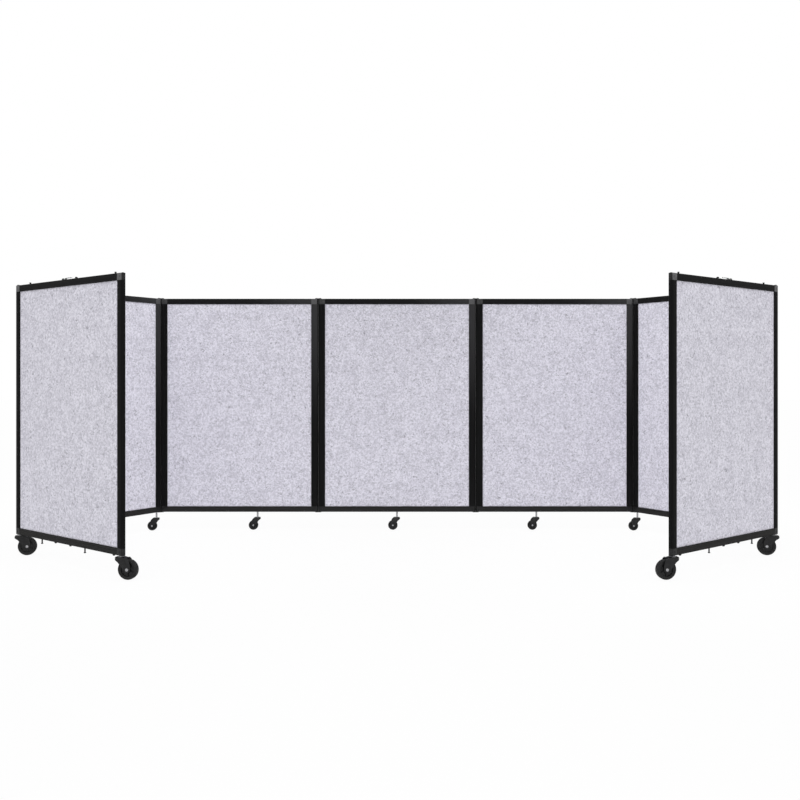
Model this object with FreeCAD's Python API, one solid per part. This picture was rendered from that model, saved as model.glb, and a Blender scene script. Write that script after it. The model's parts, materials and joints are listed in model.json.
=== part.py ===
# Rolling folding partition: seven framed leaves in a chain, joined by double-pivot hinges, on casters.
# Millimetres, +Z up, the floor at z = 0. +X is to the right along the straight middle leaves, and the
# two end leaves fold forward, towards -Y. Leaf 1 is at the left end and leaf 7 at the right end.
import FreeCAD, Part
import math
import os

os.makedirs("parts", exist_ok=True)

V = FreeCAD.Vector

# Sizes that drive everything
LEAF_PITCH = 838.0        # hinge centre to hinge centre along the chain
LEAF_T = 20.0             # thickness of a leaf's frame
FRAME_H = 1132.0          # height of a leaf's frame
HINGE_GAP = 1.2           # between the two half-round edges at a hinge
FOLD_INNER = 55.3         # degrees between leaves 2 and 3, and 5 and 6, as the partition stands
FOLD_OUTER = 85.2         # degrees between leaves 1 and 2, and 6 and 7
LEAVES = (1, 2, 3, 4, 5, 6, 7)
MIDDLE = 4
HINGES = LEAVES[:-1]      # hinge i joins leaf i to leaf i + 1

# Frame extrusions
STILE_W = 36.0            # face width of a stile
RAIL_H = 29.0             # face height of a rail
WALL = 2.5                # wall of the extrusions on their faces
RAIL_FLOOR = 3.0          # wall of a rail on its outer edge
STILE_NOSE = 6.5          # from the hinge edge to the stile's hollow
WEB = 4.0                 # wall between the hollow and the infill groove
GROOVE_D = 8.0

# Infill
SHEET_T = 3.0             # polycarbonate sheet
FELT_T = 3.5              # felt skin, one on each face of the sheet
INFILL_PLAY = 1.0         # room for the infill to grow at its sides and top

# Corner blocks
SPIGOT = 25.0             # how far a block's spigots reach into the stile and the rail
STEM_ROOF = 1.0           # between a large caster's stem bore and the infill groove
BORE_WALL = 4.9           # between the bores of the hinge pin and a large caster's stem
SMALL_BORE_WALL = 7.05    # the same for a small caster's stem

# Fits
RUN_FIT = 0.05            # radial clearance of every pin, stem and axle that turns in its bore

# Hinges
PIN_R = 3.5
PIN_ROOF = 5.0            # from a pin's end to the far side of its corner block
PIN_END = 1.0             # bore past the end of a pin or stem
PLATE_T = 2.5
PLATE_W = 12.0
PLATE_CLEAR = 0.4         # between a link plate and the blocks
STRIP_CLEAR = 0.3         # between the sight strip and a leaf's half-round edge
HEAD_R = 4.8
HEAD_H = 1.5
CAP_H = 2.2               # pivot cap on a free end

# Large casters
BIG_R = 41.0
BIG_W = 24.0
BIG_TRAIL = 32.0
BIG_EDGE = 5.0            # rounding of the tread's shoulders
BIG_HUB_R = 13.0
BIG_RIM = 9.0             # depth of the rim under the tread
BIG_DISH = 3.5            # how deep each side face is dished
BIG_SIDE = 0.8            # between the hub and a fork leg
BIG_LEG_T = 3.0
BIG_TYRE_CLEAR = 4.5      # from the wheel up to the crown
BIG_CROWN_T = 4.0
BIG_SKIRT = 19.0          # from the crown's top down to the foot of the nose
BIG_NOSE = 8.0            # centre of the nose ahead of the stem
BIG_TIP_DROP = 10.5       # from the crown's top down to the nose's tip
BIG_TIP_LEAN = 3.0        # how far the nose's face leans back above the tip
BIG_CROWN_END = 12.0      # end of the crown behind the stem
BIG_HIP_BACK = 14.0       # back edge of a leg behind the axle
BIG_HIP_UP = 15.0         # and above it
BIG_BROW_BACK = 6.0       # upper back corner of a leg behind the axle
BIG_BROW_DROP = 5.5       # and below the crown's top
BIG_BOSS_R = 13.0         # fork leg around the axle
BIG_STEM_R = 5.5
BIG_NECK = 4.0            # stem that shows between the washer and the frame
BIG_WASHER_R = 11.0
BIG_WASHER_T = 1.5
BIG_AXLE_R = 4.0
BIG_BOLT_R = 6.2
BIG_BOLT_H = 2.2
BIG_FAR_AIM = 13.0        # degrees from +X that the far left caster trails
BIG_NEAR_AIM = -9.0       # the same for the near left caster; the right ones mirror them

# Brake pedals
PEDAL_AHEAD = 23.0        # pedal pin ahead of the axle
PEDAL_CLEAR = 1.0         # between the pedal's barrel and the crown
PEDAL_PIN_R = 1.5
PEDAL_BARREL_R = 3.5
PEDAL_T = 3.0
PEDAL_GAP = 2.8           # between the pedal's arm and a fork leg
PEDAL_L = 28.0            # from the pin to the tip
PEDAL_RISE = 5.2          # top of the tip above the pin's centre, less the pedal's thickness
PEDAL_SIDE = 1.3          # between the pedal's barrel and a fork leg

# Small casters
SMALL_R = 25.0
SMALL_W = 17.0
SMALL_TRAIL = 22.0
SMALL_EDGE = 4.0
SMALL_HUB_R = 8.0
SMALL_RIM = 6.0
SMALL_DISH = 2.5
SMALL_SIDE = 0.7
SMALL_LEG_T = 2.5
SMALL_TYRE_CLEAR = 13.0
SMALL_CROWN_T = 4.0
SMALL_SKIRT = 18.0
SMALL_NOSE = 5.0
SMALL_TIP_DROP = 8.5
SMALL_TIP_LEAN = 2.0
SMALL_CROWN_END = 16.0
SMALL_HIP_BACK = 11.0
SMALL_HIP_UP = 17.0
SMALL_BROW_BACK = 5.0
SMALL_BROW_DROP = 10.0
SMALL_BOSS_R = 8.5
SMALL_STEM_R = 4.75
SMALL_AXLE_R = 3.0
SMALL_BOLT_R = 4.4
SMALL_BOLT_H = 1.6
SMALL_AIM = 180.0         # all five trail to the left as the partition stands
SMALL_NEAR_IN = 322.0     # stem from the inner end of leaves 3 and 5
SOCKET_L = 24.0           # plastic socket in the bottom rail

# Fittings on the edges of the end leaves, as shares of the leaf from its folded end
PEG_SHARES = (0.137, 0.928)
BUTTON_SHARES = (0.463, 0.584)
LONG_PIN_SHARES = (0.257, 0.663)
BUMPER_SHARES = (0.391, 0.531, 0.915)
PEG_R = 3.5
PEG_CAP_R = 5.0
PEG_H = 5.0
PEG_CAP_H = 3.0
BUTTON_R = 3.0
BUTTON_CAP_R = 6.0
BUTTON_CAP_H = 6.5
STRAP_W = 12.0
STRAP_T = 1.2
STRAP_BOW = 6.5
STRAP_TAIL = 9.0
STRAP_RAMP = 20.0
LONG_PIN_R = 3.0
LONG_PIN_L = 19.0
LONG_PIN_HEAD_R = 5.0
LONG_PIN_HEAD_H = 3.0
BUMPER_R = 7.0
BUMPER_TIP_R = 4.0
BUMPER_H = 7.0

# What follows from them
EDGE_R = LEAF_T / 2                       # half-round hinge edge, with the pivot at its centre
LEAF_W = LEAF_PITCH - HINGE_GAP
LINK_L = LEAF_T + HINGE_GAP
BIG_CROWN_TOP = 2 * BIG_R + BIG_TYRE_CLEAR + BIG_CROWN_T
SMALL_CROWN_TOP = 2 * SMALL_R + SMALL_TYRE_CLEAR + SMALL_CROWN_T
FRAME_FLOOR = BIG_CROWN_TOP + BIG_WASHER_T + BIG_NECK      # floor to the underside of the frame
FRAME_TOP = FRAME_FLOOR + FRAME_H
GROOVE_W = SHEET_T + 2 * FELT_T
HOLLOW_Y = LEAF_T - 2 * WALL
STILE_HOLLOW_END = STILE_W - GROOVE_D - WEB
RAIL_HOLLOW_END = RAIL_H - GROOVE_D - WEB
PIN_BORE_R = PIN_R + RUN_FIT
PIN_IN = RAIL_H - PIN_ROOF                                 # how far a pin stands in its corner block
BIG_STEM_IN = RAIL_H - GROOVE_D - STEM_ROOF - PIN_END
SMALL_STEM_IN = RAIL_HOLLOW_END - PIN_END
BIG_IN = EDGE_R + PIN_BORE_R + BORE_WALL + RUN_FIT + BIG_STEM_R      # stem from the end of the leaf
SMALL_EDGE_IN = EDGE_R + PIN_BORE_R + SMALL_BORE_WALL + RUN_FIT + SMALL_STEM_R


# Plain solids
def box(x0, x1, y0, y1, z0, z1):
    return Part.makeBox(x1 - x0, y1 - y0, z1 - z0, V(x0, y0, z0))


def rod(r, x, y, z0, z1):
    return Part.makeCylinder(r, z1 - z0, V(x, y, z0))


def cross_rod(r, x, z, y0, y1):
    return Part.makeCylinder(r, y1 - y0, V(x, y0, z), V(0, 1, 0))


def cone(r0, r1, x, y, z0, z1):
    return Part.makeCone(r0, r1, abs(z1 - z0), V(x, y, z0), V(0, 0, 1 if z1 > z0 else -1))


def side_plate(points, y0, y1):
    """A flat plate whose outline is given in x and z, from y0 to y1."""
    ring = [V(x, y0, z) for x, z in points]
    return Part.Face(Part.makePolygon(ring + ring[:1])).extrude(V(0, y1 - y0, 0))


def fused(first, *rest):
    out = first
    for s in rest:
        out = out.fuse(s)
    return out.removeSplitter()


# Where each leaf and each hinge stands
def step(x=0.0, turn=0.0, y=0.0):
    return FreeCAD.Placement(V(x, y, 0), FreeCAD.Rotation(V(0, 0, 1), turn))


def fold_at(hinge):
    """Degrees that the chain turns at a hinge, counted from left to right, as it stands."""
    return {1: -FOLD_OUTER, 2: -FOLD_INNER, 5: -FOLD_INNER, 6: -FOLD_OUTER}.get(hinge, 0.0)


LEAF_AT = {MIDDLE: step(-LEAF_W / 2)}     # a leaf's own x runs from its left edge to its right edge
LINK_AT = {}                              # a link's own x runs from its left pivot to its right pivot
for i in range(MIDDLE, LEAVES[-1]):
    LINK_AT[i] = LEAF_AT[i].multiply(step(LEAF_W - EDGE_R, fold_at(i) / 2))
    LEAF_AT[i + 1] = LINK_AT[i].multiply(step(LINK_L, fold_at(i) / 2)).multiply(step(-EDGE_R))
for i in range(MIDDLE - 1, 0, -1):
    right = LEAF_AT[i + 1].multiply(step(EDGE_R, -fold_at(i) / 2))
    LINK_AT[i] = right.multiply(step(-LINK_L))
    LEAF_AT[i] = LINK_AT[i].multiply(step(0.0, -fold_at(i) / 2)).multiply(step(EDGE_R - LEAF_W))

# Where each caster's stem stands: leaf, place along it, and the way it trails
BIG_CASTERS = {
    "near_left": (LEAVES[0], BIG_IN, BIG_NEAR_AIM),
    "far_left": (LEAVES[0], LEAF_W - BIG_IN, BIG_FAR_AIM),
    "far_right": (LEAVES[-1], BIG_IN, 180.0 - BIG_FAR_AIM),
    "near_right": (LEAVES[-1], LEAF_W - BIG_IN, 180.0 - BIG_NEAR_AIM),
}
SMALL_CASTERS = {
    "leaf_2": (LEAVES[1], LEAF_W - SMALL_EDGE_IN, SMALL_AIM),
    "leaf_3": (LEAVES[2], LEAF_W - SMALL_NEAR_IN, SMALL_AIM),
    "leaf_4": (LEAVES[3], LEAF_W / 2, SMALL_AIM),
    "leaf_5": (LEAVES[4], SMALL_NEAR_IN, SMALL_AIM),
    "leaf_6": (LEAVES[5], SMALL_EDGE_IN, SMALL_AIM),
}


def caster_at(leaf, x, aim):
    """Placement with its origin at a stem on the floor, and its x along the way the caster trails."""
    p = LEAF_AT[leaf].multVec(V(x, 0, 0))
    return step(p.x, aim, p.y)


# Frame: two stiles and two rails of black aluminium extrusion
def stile():
    """Left stile, with its hinge edge at x = 0."""
    r, w, g = EDGE_R, STILE_W, GROOVE_W / 2
    arc = Part.Arc(V(r, r, 0), V(0, 0, 0), V(r, -r, 0)).toShape()
    pts = [V(r, -r, 0), V(w, -r, 0), V(w, -g, 0), V(w - GROOVE_D, -g, 0),
           V(w - GROOVE_D, g, 0), V(w, g, 0), V(w, r, 0), V(r, r, 0)]
    outline = Part.Face(Part.Wire([arc] + [Part.makeLine(a, b) for a, b in zip(pts, pts[1:])]))
    z0, z1 = FRAME_FLOOR + RAIL_H, FRAME_TOP - RAIL_H
    outline.translate(V(0, 0, z0))
    bar = outline.extrude(V(0, 0, z1 - z0))
    return bar.cut(box(STILE_NOSE, STILE_HOLLOW_END, -HOLLOW_Y / 2, HOLLOW_Y / 2, z0, z1))


def rail(stem_at=None):
    """Bottom rail; a stem hole goes through its lower wall where a small caster stands."""
    x0, x1, z0 = STILE_W, LEAF_W - STILE_W, FRAME_FLOOR
    bar = box(x0, x1, -LEAF_T / 2, LEAF_T / 2, z0, z0 + RAIL_H)
    bar = bar.cut(box(x0, x1, -HOLLOW_Y / 2, HOLLOW_Y / 2, z0 + RAIL_FLOOR, z0 + RAIL_HOLLOW_END))
    bar = bar.cut(box(x0, x1, -GROOVE_W / 2, GROOVE_W / 2, z0 + RAIL_H - GROOVE_D, z0 + RAIL_H))
    if stem_at is not None:
        bar = bar.cut(rod(SMALL_STEM_R + RUN_FIT, stem_at, 0, z0, z0 + RAIL_FLOOR))
    return bar


def right_hand(shape):
    """The mirror twin at the other end of a leaf."""
    return shape.mirror(V(LEAF_W / 2, 0, 0), V(1, 0, 0))


def upper(shape):
    """The mirror twin at the top of a leaf."""
    return shape.mirror(V(0, 0, FRAME_FLOOR + FRAME_H / 2), V(0, 0, 1))


# Leaves 3, 4 and 5 carry their small caster in the bottom rail
RAIL_STEM = {on: x for on, x, aim in SMALL_CASTERS.values() if STILE_W < x < LEAF_W - STILE_W}


def frame(leaf):
    return [stile(), right_hand(stile()), rail(RAIL_STEM.get(leaf)), upper(rail())]


# Corner blocks: moulded plastic, with spigots into both bars and a bore for the hinge pin
def corner(stem_r=0.0, stem_x=0.0, stem_in=0.0):
    """Bottom left block; where a caster stands under it, it also has a bore for the caster's stem."""
    r, w, z0 = EDGE_R, STILE_W, FRAME_FLOOR
    z1 = z0 + RAIL_H
    block = fused(box(r, w, -r, r, z0, z1), rod(r, r, 0, z0, z1),
                  box(STILE_NOSE, STILE_HOLLOW_END, -HOLLOW_Y / 2, HOLLOW_Y / 2, z1, z1 + SPIGOT),
                  box(w, w + SPIGOT, -HOLLOW_Y / 2, HOLLOW_Y / 2, z0 + RAIL_FLOOR, z0 + RAIL_HOLLOW_END))
    block = block.cut(box(w - GROOVE_D, w, -GROOVE_W / 2, GROOVE_W / 2, z1 - GROOVE_D, z1))
    block = block.cut(rod(PIN_BORE_R, r, 0, z0, z0 + PIN_IN + PIN_END))
    if stem_r:
        block = block.cut(rod(stem_r + RUN_FIT, stem_x, 0, z0, z0 + stem_in + PIN_END))
    return block


def socket(x):
    """Plastic socket that fills the bottom rail's hollow around a small caster's stem."""
    z0, z1 = FRAME_FLOOR + RAIL_FLOOR, FRAME_FLOOR + RAIL_HOLLOW_END
    piece = box(x - SOCKET_L / 2, x + SOCKET_L / 2, -HOLLOW_Y / 2, HOLLOW_Y / 2, z0, z1)
    return piece.cut(rod(SMALL_STEM_R + RUN_FIT, x, 0, z0, FRAME_FLOOR + SMALL_STEM_IN + PIN_END))


def blocks(leaf):
    plain = corner()
    big = corner(BIG_STEM_R, BIG_IN, BIG_STEM_IN)
    small = corner(SMALL_STEM_R, SMALL_EDGE_IN, SMALL_STEM_IN)
    lower = {1: (big, big), 2: (plain, small), 6: (small, plain), 7: (big, big)}
    left, right = lower.get(leaf, (plain, plain))
    out = [left, right_hand(right), upper(plain), right_hand(upper(plain))]
    return out + [socket(RAIL_STEM[leaf])] if leaf in RAIL_STEM else out


# Infill: a polycarbonate sheet between two felt skins, held in the groove all round
def infill(y0, y1):
    inset = STILE_W - GROOVE_D + INFILL_PLAY
    z0, z1 = FRAME_FLOOR + RAIL_H - GROOVE_D, FRAME_TOP - RAIL_H + GROOVE_D - INFILL_PLAY
    return box(inset, LEAF_W - inset, y0, y1, z0, z1)


def sheet():
    return infill(-SHEET_T / 2, SHEET_T / 2)


def felts():
    return [infill(-GROOVE_W / 2, -SHEET_T / 2), infill(SHEET_T / 2, GROOVE_W / 2)]


# Hinges: link plates above and below the blocks, on four steel pins, with a thin steel sight strip
# between the plates that keeps light out of the gap
def plate(z0):
    """Link plate with its left pivot at x = 0."""
    z1, r = z0 + PLATE_T, PLATE_W / 2
    flat = fused(box(0, LINK_L, -r, r, z0, z1), rod(r, 0, 0, z0, z1), rod(r, LINK_L, 0, z0, z1))
    for x in (0, LINK_L):
        flat = flat.cut(rod(PIN_R, x, 0, z0, z1))
    return flat


def hinge():
    high = FRAME_TOP + PLATE_CLEAR
    low = FRAME_FLOOR - PLATE_CLEAR - PLATE_T
    out = [plate(high), plate(low)]
    for x in (0, LINK_L):
        head = high + PLATE_T
        out.append(fused(rod(PIN_R, x, 0, FRAME_TOP - PIN_IN, head),
                         cone(HEAD_R, PIN_R, x, 0, head, head + HEAD_H)))
        out.append(rod(PIN_R, x, 0, low, FRAME_FLOOR + PIN_IN))
    half = HINGE_GAP / 2 - STRIP_CLEAR
    out.append(box(LINK_L / 2 - half, LINK_L / 2 + half, -PLATE_W / 2, PLATE_W / 2, low + PLATE_T, high))
    return out


# Casters
# Where a leg's outline meets the axle's boss, as shares of a full turn round it from the back
BOSS_TURN_SHARES = (0.555, -0.028)


def wheel(r, w, edge, hub_r, rim, dish, bore, trail):
    """Moulded wheel with rounded shoulders and dished side faces, on its axle at the trail."""
    y = w / 2
    k = edge * (1 - math.sqrt(0.5))
    p = [V(bore, 0, y), V(hub_r, 0, y), V(hub_r + dish, 0, y - dish), V(r - rim - dish, 0, y - dish),
         V(r - rim, 0, y), V(r - edge, 0, y)]
    low = [V(v.x, 0, -v.z) for v in reversed(p)]
    top_round = Part.Arc(p[-1], V(r - k, 0, y - k), V(r, 0, y - edge)).toShape()
    low_round = Part.Arc(V(r, 0, edge - y), V(r - k, 0, k - y), low[0]).toShape()
    lines = [Part.makeLine(a, b) for a, b in zip(p, p[1:])]
    lines += [top_round, Part.makeLine(V(r, 0, y - edge), V(r, 0, edge - y)), low_round]
    lines += [Part.makeLine(a, b) for a, b in zip(low, low[1:])]
    lines += [Part.makeLine(low[-1], p[0])]
    solid = Part.Face(Part.Wire(lines)).revolve(V(0, 0, 0), V(0, 0, 1), 360)
    solid.rotate(V(0, 0, 0), V(1, 0, 0), 90)
    solid.translate(V(trail, 0, r))
    return solid


def axle(r, reach, bolt_r, bolt_h, x, z):
    """Axle with a low head outside each fork leg."""
    ends = [Part.makeCone(bolt_r, r, bolt_h, V(x, s * reach, z), V(0, s, 0)) for s in (1, -1)]
    return fused(cross_rod(r, x, z, -reach, reach), *ends)


def leg(nose, top, skirt, crown_end, hip_back, hip_up, brow_back, brow_drop, boss_r, x, z):
    """Outline of a fork leg: down the nose's side, under the axle's boss and up the back."""
    turns = [share * 2 * math.pi for share in BOSS_TURN_SHARES]
    under = [(x + boss_r * math.cos(a), z + boss_r * math.sin(a)) for a in turns]
    return ((-nose, top), (-nose, top - skirt), *under, (x + hip_back, z + hip_up),
            (x + brow_back, top - brow_drop), (crown_end, top))


def fork(outline, inner, leg_t, nose, crown_top, crown_t, skirt, tip_drop, tip_lean, crown_end, stem_r,
         axle_r, boss_r, x, z):
    """Fork housing: two legs, a crown over the wheel's front and a nose that comes to a rounded tip."""
    outer = inner + leg_t
    legs = []
    for y0, y1 in ((inner, outer), (-outer, -inner)):
        legs.append(fused(side_plate(outline, y0, y1), cross_rod(boss_r, x, z, y0, y1)))
    z0 = crown_top - crown_t
    crown = fused(rod(outer, -nose, 0, z0, crown_top), box(-nose, crown_end, -outer, outer, z0, crown_top))
    ring = rod(outer, -nose, 0, crown_top - skirt, z0).cut(rod(inner, -nose, 0, crown_top - skirt, z0))
    ring = ring.cut(box(-nose, outer, -outer, outer, crown_top - skirt, z0))
    body = fused(crown, ring, *legs)
    tip, tip_z, ahead = -nose - outer, crown_top - tip_drop, -nose - outer - tip_lean
    under = ((tip, tip_z), (-nose, crown_top - skirt), (ahead, crown_top - skirt), (ahead, tip_z))
    over = ((tip, tip_z), (tip + tip_lean, crown_top), (ahead, crown_top), (ahead, tip_z))
    body = body.cut(side_plate(under, -outer, outer)).cut(side_plate(over, -outer, outer))
    body = body.cut(rod(stem_r, 0, 0, z0, crown_top))
    return body.cut(cross_rod(axle_r, x, z, -outer, outer))


# Large caster: steel housing and stem, moulded wheel, and a pedal over the wheel
BIG_INNER = BIG_W / 2 + BIG_SIDE
BIG_OUTER = BIG_INNER + BIG_LEG_T
BIG_LEG = leg(BIG_NOSE, BIG_CROWN_TOP, BIG_SKIRT, BIG_CROWN_END, BIG_HIP_BACK, BIG_HIP_UP,
              BIG_BROW_BACK, BIG_BROW_DROP, BIG_BOSS_R, BIG_TRAIL, BIG_R)
PEDAL_X = BIG_TRAIL - PEDAL_AHEAD
PEDAL_Z = BIG_CROWN_TOP - BIG_CROWN_T - PEDAL_CLEAR - PEDAL_BARREL_R


def big_fork():
    body = fork(BIG_LEG, BIG_INNER, BIG_LEG_T, BIG_NOSE, BIG_CROWN_TOP, BIG_CROWN_T, BIG_SKIRT,
                BIG_TIP_DROP, BIG_TIP_LEAN, BIG_CROWN_END, BIG_STEM_R, BIG_AXLE_R, BIG_BOSS_R,
                BIG_TRAIL, BIG_R)
    body = body.cut(cross_rod(PEDAL_PIN_R, PEDAL_X, PEDAL_Z, -BIG_OUTER, BIG_OUTER))
    stem = rod(BIG_STEM_R, 0, 0, BIG_CROWN_TOP - BIG_CROWN_T, FRAME_FLOOR + BIG_STEM_IN)
    washer = rod(BIG_WASHER_R, 0, 0, BIG_CROWN_TOP, BIG_CROWN_TOP + BIG_WASHER_T)
    washer = washer.cut(rod(BIG_STEM_R, 0, 0, BIG_CROWN_TOP, BIG_CROWN_TOP + BIG_WASHER_T))
    return [body, stem, washer,
            axle(BIG_AXLE_R, BIG_OUTER, BIG_BOLT_R, BIG_BOLT_H, BIG_TRAIL, BIG_R),
            cross_rod(PEDAL_PIN_R, PEDAL_X, PEDAL_Z, -BIG_OUTER, BIG_OUTER)]


def big_wheel():
    return [wheel(BIG_R, BIG_W, BIG_EDGE, BIG_HUB_R, BIG_RIM, BIG_DISH, BIG_AXLE_R + RUN_FIT, BIG_TRAIL)]


def pedal():
    half = BIG_INNER - PEDAL_SIDE
    wide = BIG_INNER - PEDAL_GAP
    x, z = PEDAL_X + PEDAL_L, PEDAL_Z + PEDAL_RISE
    arm = side_plate(((PEDAL_X, PEDAL_Z), (PEDAL_X, PEDAL_Z + PEDAL_T), (x, z + PEDAL_T), (x, z)),
                     -wide, wide)
    piece = fused(arm, cross_rod(PEDAL_BARREL_R, PEDAL_X, PEDAL_Z, -half, half))
    return [piece.cut(cross_rod(PEDAL_PIN_R + RUN_FIT, PEDAL_X, PEDAL_Z, -half, half))]


# Small caster: the same build without a brake, on a long silver stem
SMALL_INNER = SMALL_W / 2 + SMALL_SIDE
SMALL_OUTER = SMALL_INNER + SMALL_LEG_T
SMALL_LEG = leg(SMALL_NOSE, SMALL_CROWN_TOP, SMALL_SKIRT, SMALL_CROWN_END, SMALL_HIP_BACK,
                SMALL_HIP_UP, SMALL_BROW_BACK, SMALL_BROW_DROP, SMALL_BOSS_R, SMALL_TRAIL, SMALL_R)


def small_fork():
    body = fork(SMALL_LEG, SMALL_INNER, SMALL_LEG_T, SMALL_NOSE, SMALL_CROWN_TOP, SMALL_CROWN_T,
                SMALL_SKIRT, SMALL_TIP_DROP, SMALL_TIP_LEAN, SMALL_CROWN_END, SMALL_STEM_R,
                SMALL_AXLE_R, SMALL_BOSS_R, SMALL_TRAIL, SMALL_R)
    stem = rod(SMALL_STEM_R, 0, 0, SMALL_CROWN_TOP - SMALL_CROWN_T, FRAME_FLOOR + SMALL_STEM_IN)
    return [body, stem, axle(SMALL_AXLE_R, SMALL_OUTER, SMALL_BOLT_R, SMALL_BOLT_H, SMALL_TRAIL, SMALL_R)]


def small_wheel():
    return [wheel(SMALL_R, SMALL_W, SMALL_EDGE, SMALL_HUB_R, SMALL_RIM, SMALL_DISH,
                  SMALL_AXLE_R + RUN_FIT, SMALL_TRAIL)]


# Fittings on an end leaf, drawn with the free end at x = 0 as on leaf 1
def along(share):
    return LEAF_W * (1 - share)


def edge_fittings():
    out = []
    for s in PEG_SHARES:
        out.append(fused(rod(PEG_R, along(s), 0, FRAME_TOP, FRAME_TOP + PEG_H),
                         rod(PEG_CAP_R, along(s), 0, FRAME_TOP + PEG_H, FRAME_TOP + PEG_H + PEG_CAP_H)))
    for s in BUTTON_SHARES:
        z = FRAME_TOP + STRAP_T
        out.append(fused(rod(BUTTON_R, along(s), 0, FRAME_TOP, z),
                         rod(BUTTON_CAP_R, along(s), 0, z, z + BUTTON_CAP_H)))
    for s in LONG_PIN_SHARES:
        z = FRAME_FLOOR - LONG_PIN_L
        out.append(fused(rod(LONG_PIN_R, along(s), 0, z, FRAME_FLOOR),
                         rod(LONG_PIN_HEAD_R, along(s), 0, z - LONG_PIN_HEAD_H, z)))
    for s in BUMPER_SHARES:
        out.append(cone(BUMPER_R, BUMPER_TIP_R, along(s), 0, FRAME_FLOOR, FRAME_FLOOR - BUMPER_H))
    # pivot caps in the free end's two hinge bores
    out.append(fused(rod(PIN_R, EDGE_R, 0, FRAME_TOP - PIN_IN, FRAME_TOP),
                     cone(HEAD_R, PIN_R, EDGE_R, 0, FRAME_TOP, FRAME_TOP + CAP_H)))
    out.append(fused(rod(PIN_R, EDGE_R, 0, FRAME_FLOOR, FRAME_FLOOR + PIN_IN),
                     cone(HEAD_R, PIN_R, EDGE_R, 0, FRAME_FLOOR, FRAME_FLOOR - CAP_H)))
    return out


def strap():
    """Clear strap, bowed a little upwards between its two buttons."""
    a, b = along(BUTTON_SHARES[1]), along(BUTTON_SHARES[0])
    z, t, n, m = FRAME_TOP, STRAP_T, STRAP_TAIL, STRAP_TAIL + STRAP_RAMP
    low = [(a - n, z), (a + n, z), (a + m, z + STRAP_BOW), (b - m, z + STRAP_BOW), (b - n, z), (b + n, z)]
    high = [(x, h + t) for x, h in reversed(low)]
    band = side_plate(low + high, -STRAP_W / 2, STRAP_W / 2)
    for x in (a, b):
        band = band.cut(rod(BUTTON_R, x, 0, z, z + t))
    return [band]


# All the nodes, each a list of solids in its place
def placed(solids, place):
    out = []
    for s in solids:
        s = s.copy()
        s.Placement = place.multiply(s.Placement)
        out.append(s)
    return out


NODES = {}
for i in LEAVES:
    NODES["leaf_%d_frame" % i] = placed(frame(i), LEAF_AT[i])
    NODES["leaf_%d_corner_blocks" % i] = placed(blocks(i), LEAF_AT[i])
    NODES["leaf_%d_sheet" % i] = placed([sheet()], LEAF_AT[i])
    NODES["leaf_%d_felts" % i] = placed(felts(), LEAF_AT[i])
for i in HINGES:
    NODES["hinge_%d_%d" % (i, i + 1)] = placed(hinge(), LINK_AT[i])
for name, spot in BIG_CASTERS.items():
    NODES[name + "_caster_fork"] = placed(big_fork(), caster_at(*spot))
    NODES[name + "_caster_wheel"] = placed(big_wheel(), caster_at(*spot))
    NODES[name + "_brake_pedal"] = placed(pedal(), caster_at(*spot))
for name, spot in SMALL_CASTERS.items():
    NODES[name + "_caster_fork"] = placed(small_fork(), caster_at(*spot))
    NODES[name + "_caster_wheel"] = placed(small_wheel(), caster_at(*spot))
NODES["leaf_1_edge_fittings"] = placed(edge_fittings(), LEAF_AT[1])
NODES["leaf_1_strap"] = placed(strap(), LEAF_AT[1])
NODES["leaf_7_edge_fittings"] = placed([right_hand(s) for s in edge_fittings()], LEAF_AT[7])
NODES["leaf_7_strap"] = placed([right_hand(s) for s in strap()], LEAF_AT[7])

# Origin at the middle of the whole outline, on the floor
WHOLE = Part.makeCompound([s for solids in NODES.values() for s in solids])
BOX = WHOLE.optimalBoundingBox(False, False)
ORIGIN = step(-(BOX.XMin + BOX.XMax) / 2, 0.0, -(BOX.YMin + BOX.YMax) / 2)

if __name__ == "__main__":
    for name, solids in NODES.items():
        moved = placed(solids, ORIGIN)
        shape = moved[0] if len(moved) == 1 else Part.makeCompound(moved)
        shape.exportStep("parts/%s.step" % name)
    print(len(NODES), "nodes; box", BOX)
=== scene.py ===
# A rolling folding partition of seven framed felt leaves, dressed piece by piece in the order in
# which it is put together. Metres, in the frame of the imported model, with the floor at z = 0.
import bmesh
import bpy
import json
import math
from mathutils import Matrix, Vector


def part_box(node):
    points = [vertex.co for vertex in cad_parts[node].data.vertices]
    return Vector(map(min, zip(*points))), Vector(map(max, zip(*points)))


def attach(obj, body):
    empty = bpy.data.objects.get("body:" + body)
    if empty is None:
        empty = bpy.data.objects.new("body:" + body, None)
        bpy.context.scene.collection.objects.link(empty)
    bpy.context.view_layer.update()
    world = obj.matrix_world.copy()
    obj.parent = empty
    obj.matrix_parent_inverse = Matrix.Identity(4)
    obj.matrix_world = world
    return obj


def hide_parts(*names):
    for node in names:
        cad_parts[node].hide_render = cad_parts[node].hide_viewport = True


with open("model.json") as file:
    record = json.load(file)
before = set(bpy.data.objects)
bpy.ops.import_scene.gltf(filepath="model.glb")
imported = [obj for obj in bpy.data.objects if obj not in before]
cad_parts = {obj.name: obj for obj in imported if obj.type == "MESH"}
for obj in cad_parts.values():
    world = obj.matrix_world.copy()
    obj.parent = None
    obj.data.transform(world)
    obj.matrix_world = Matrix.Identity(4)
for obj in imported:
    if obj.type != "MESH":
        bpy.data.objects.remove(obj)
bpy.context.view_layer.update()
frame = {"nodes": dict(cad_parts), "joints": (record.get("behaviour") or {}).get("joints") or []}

# The seven leaves stand in a chain, numbered from the left. Each has its own axes: x along it from
# its left edge, y through its thickness and z up from the floor. Their places are read from the
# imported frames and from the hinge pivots, which lie on each leaf's middle line.
MM = 0.001
LEAVES = range(1, 8)
JOINTS = {joint["name"]: joint for joint in frame["joints"]}
LEAF_LOW, LEAF_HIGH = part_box("leaf_4_frame")
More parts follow.
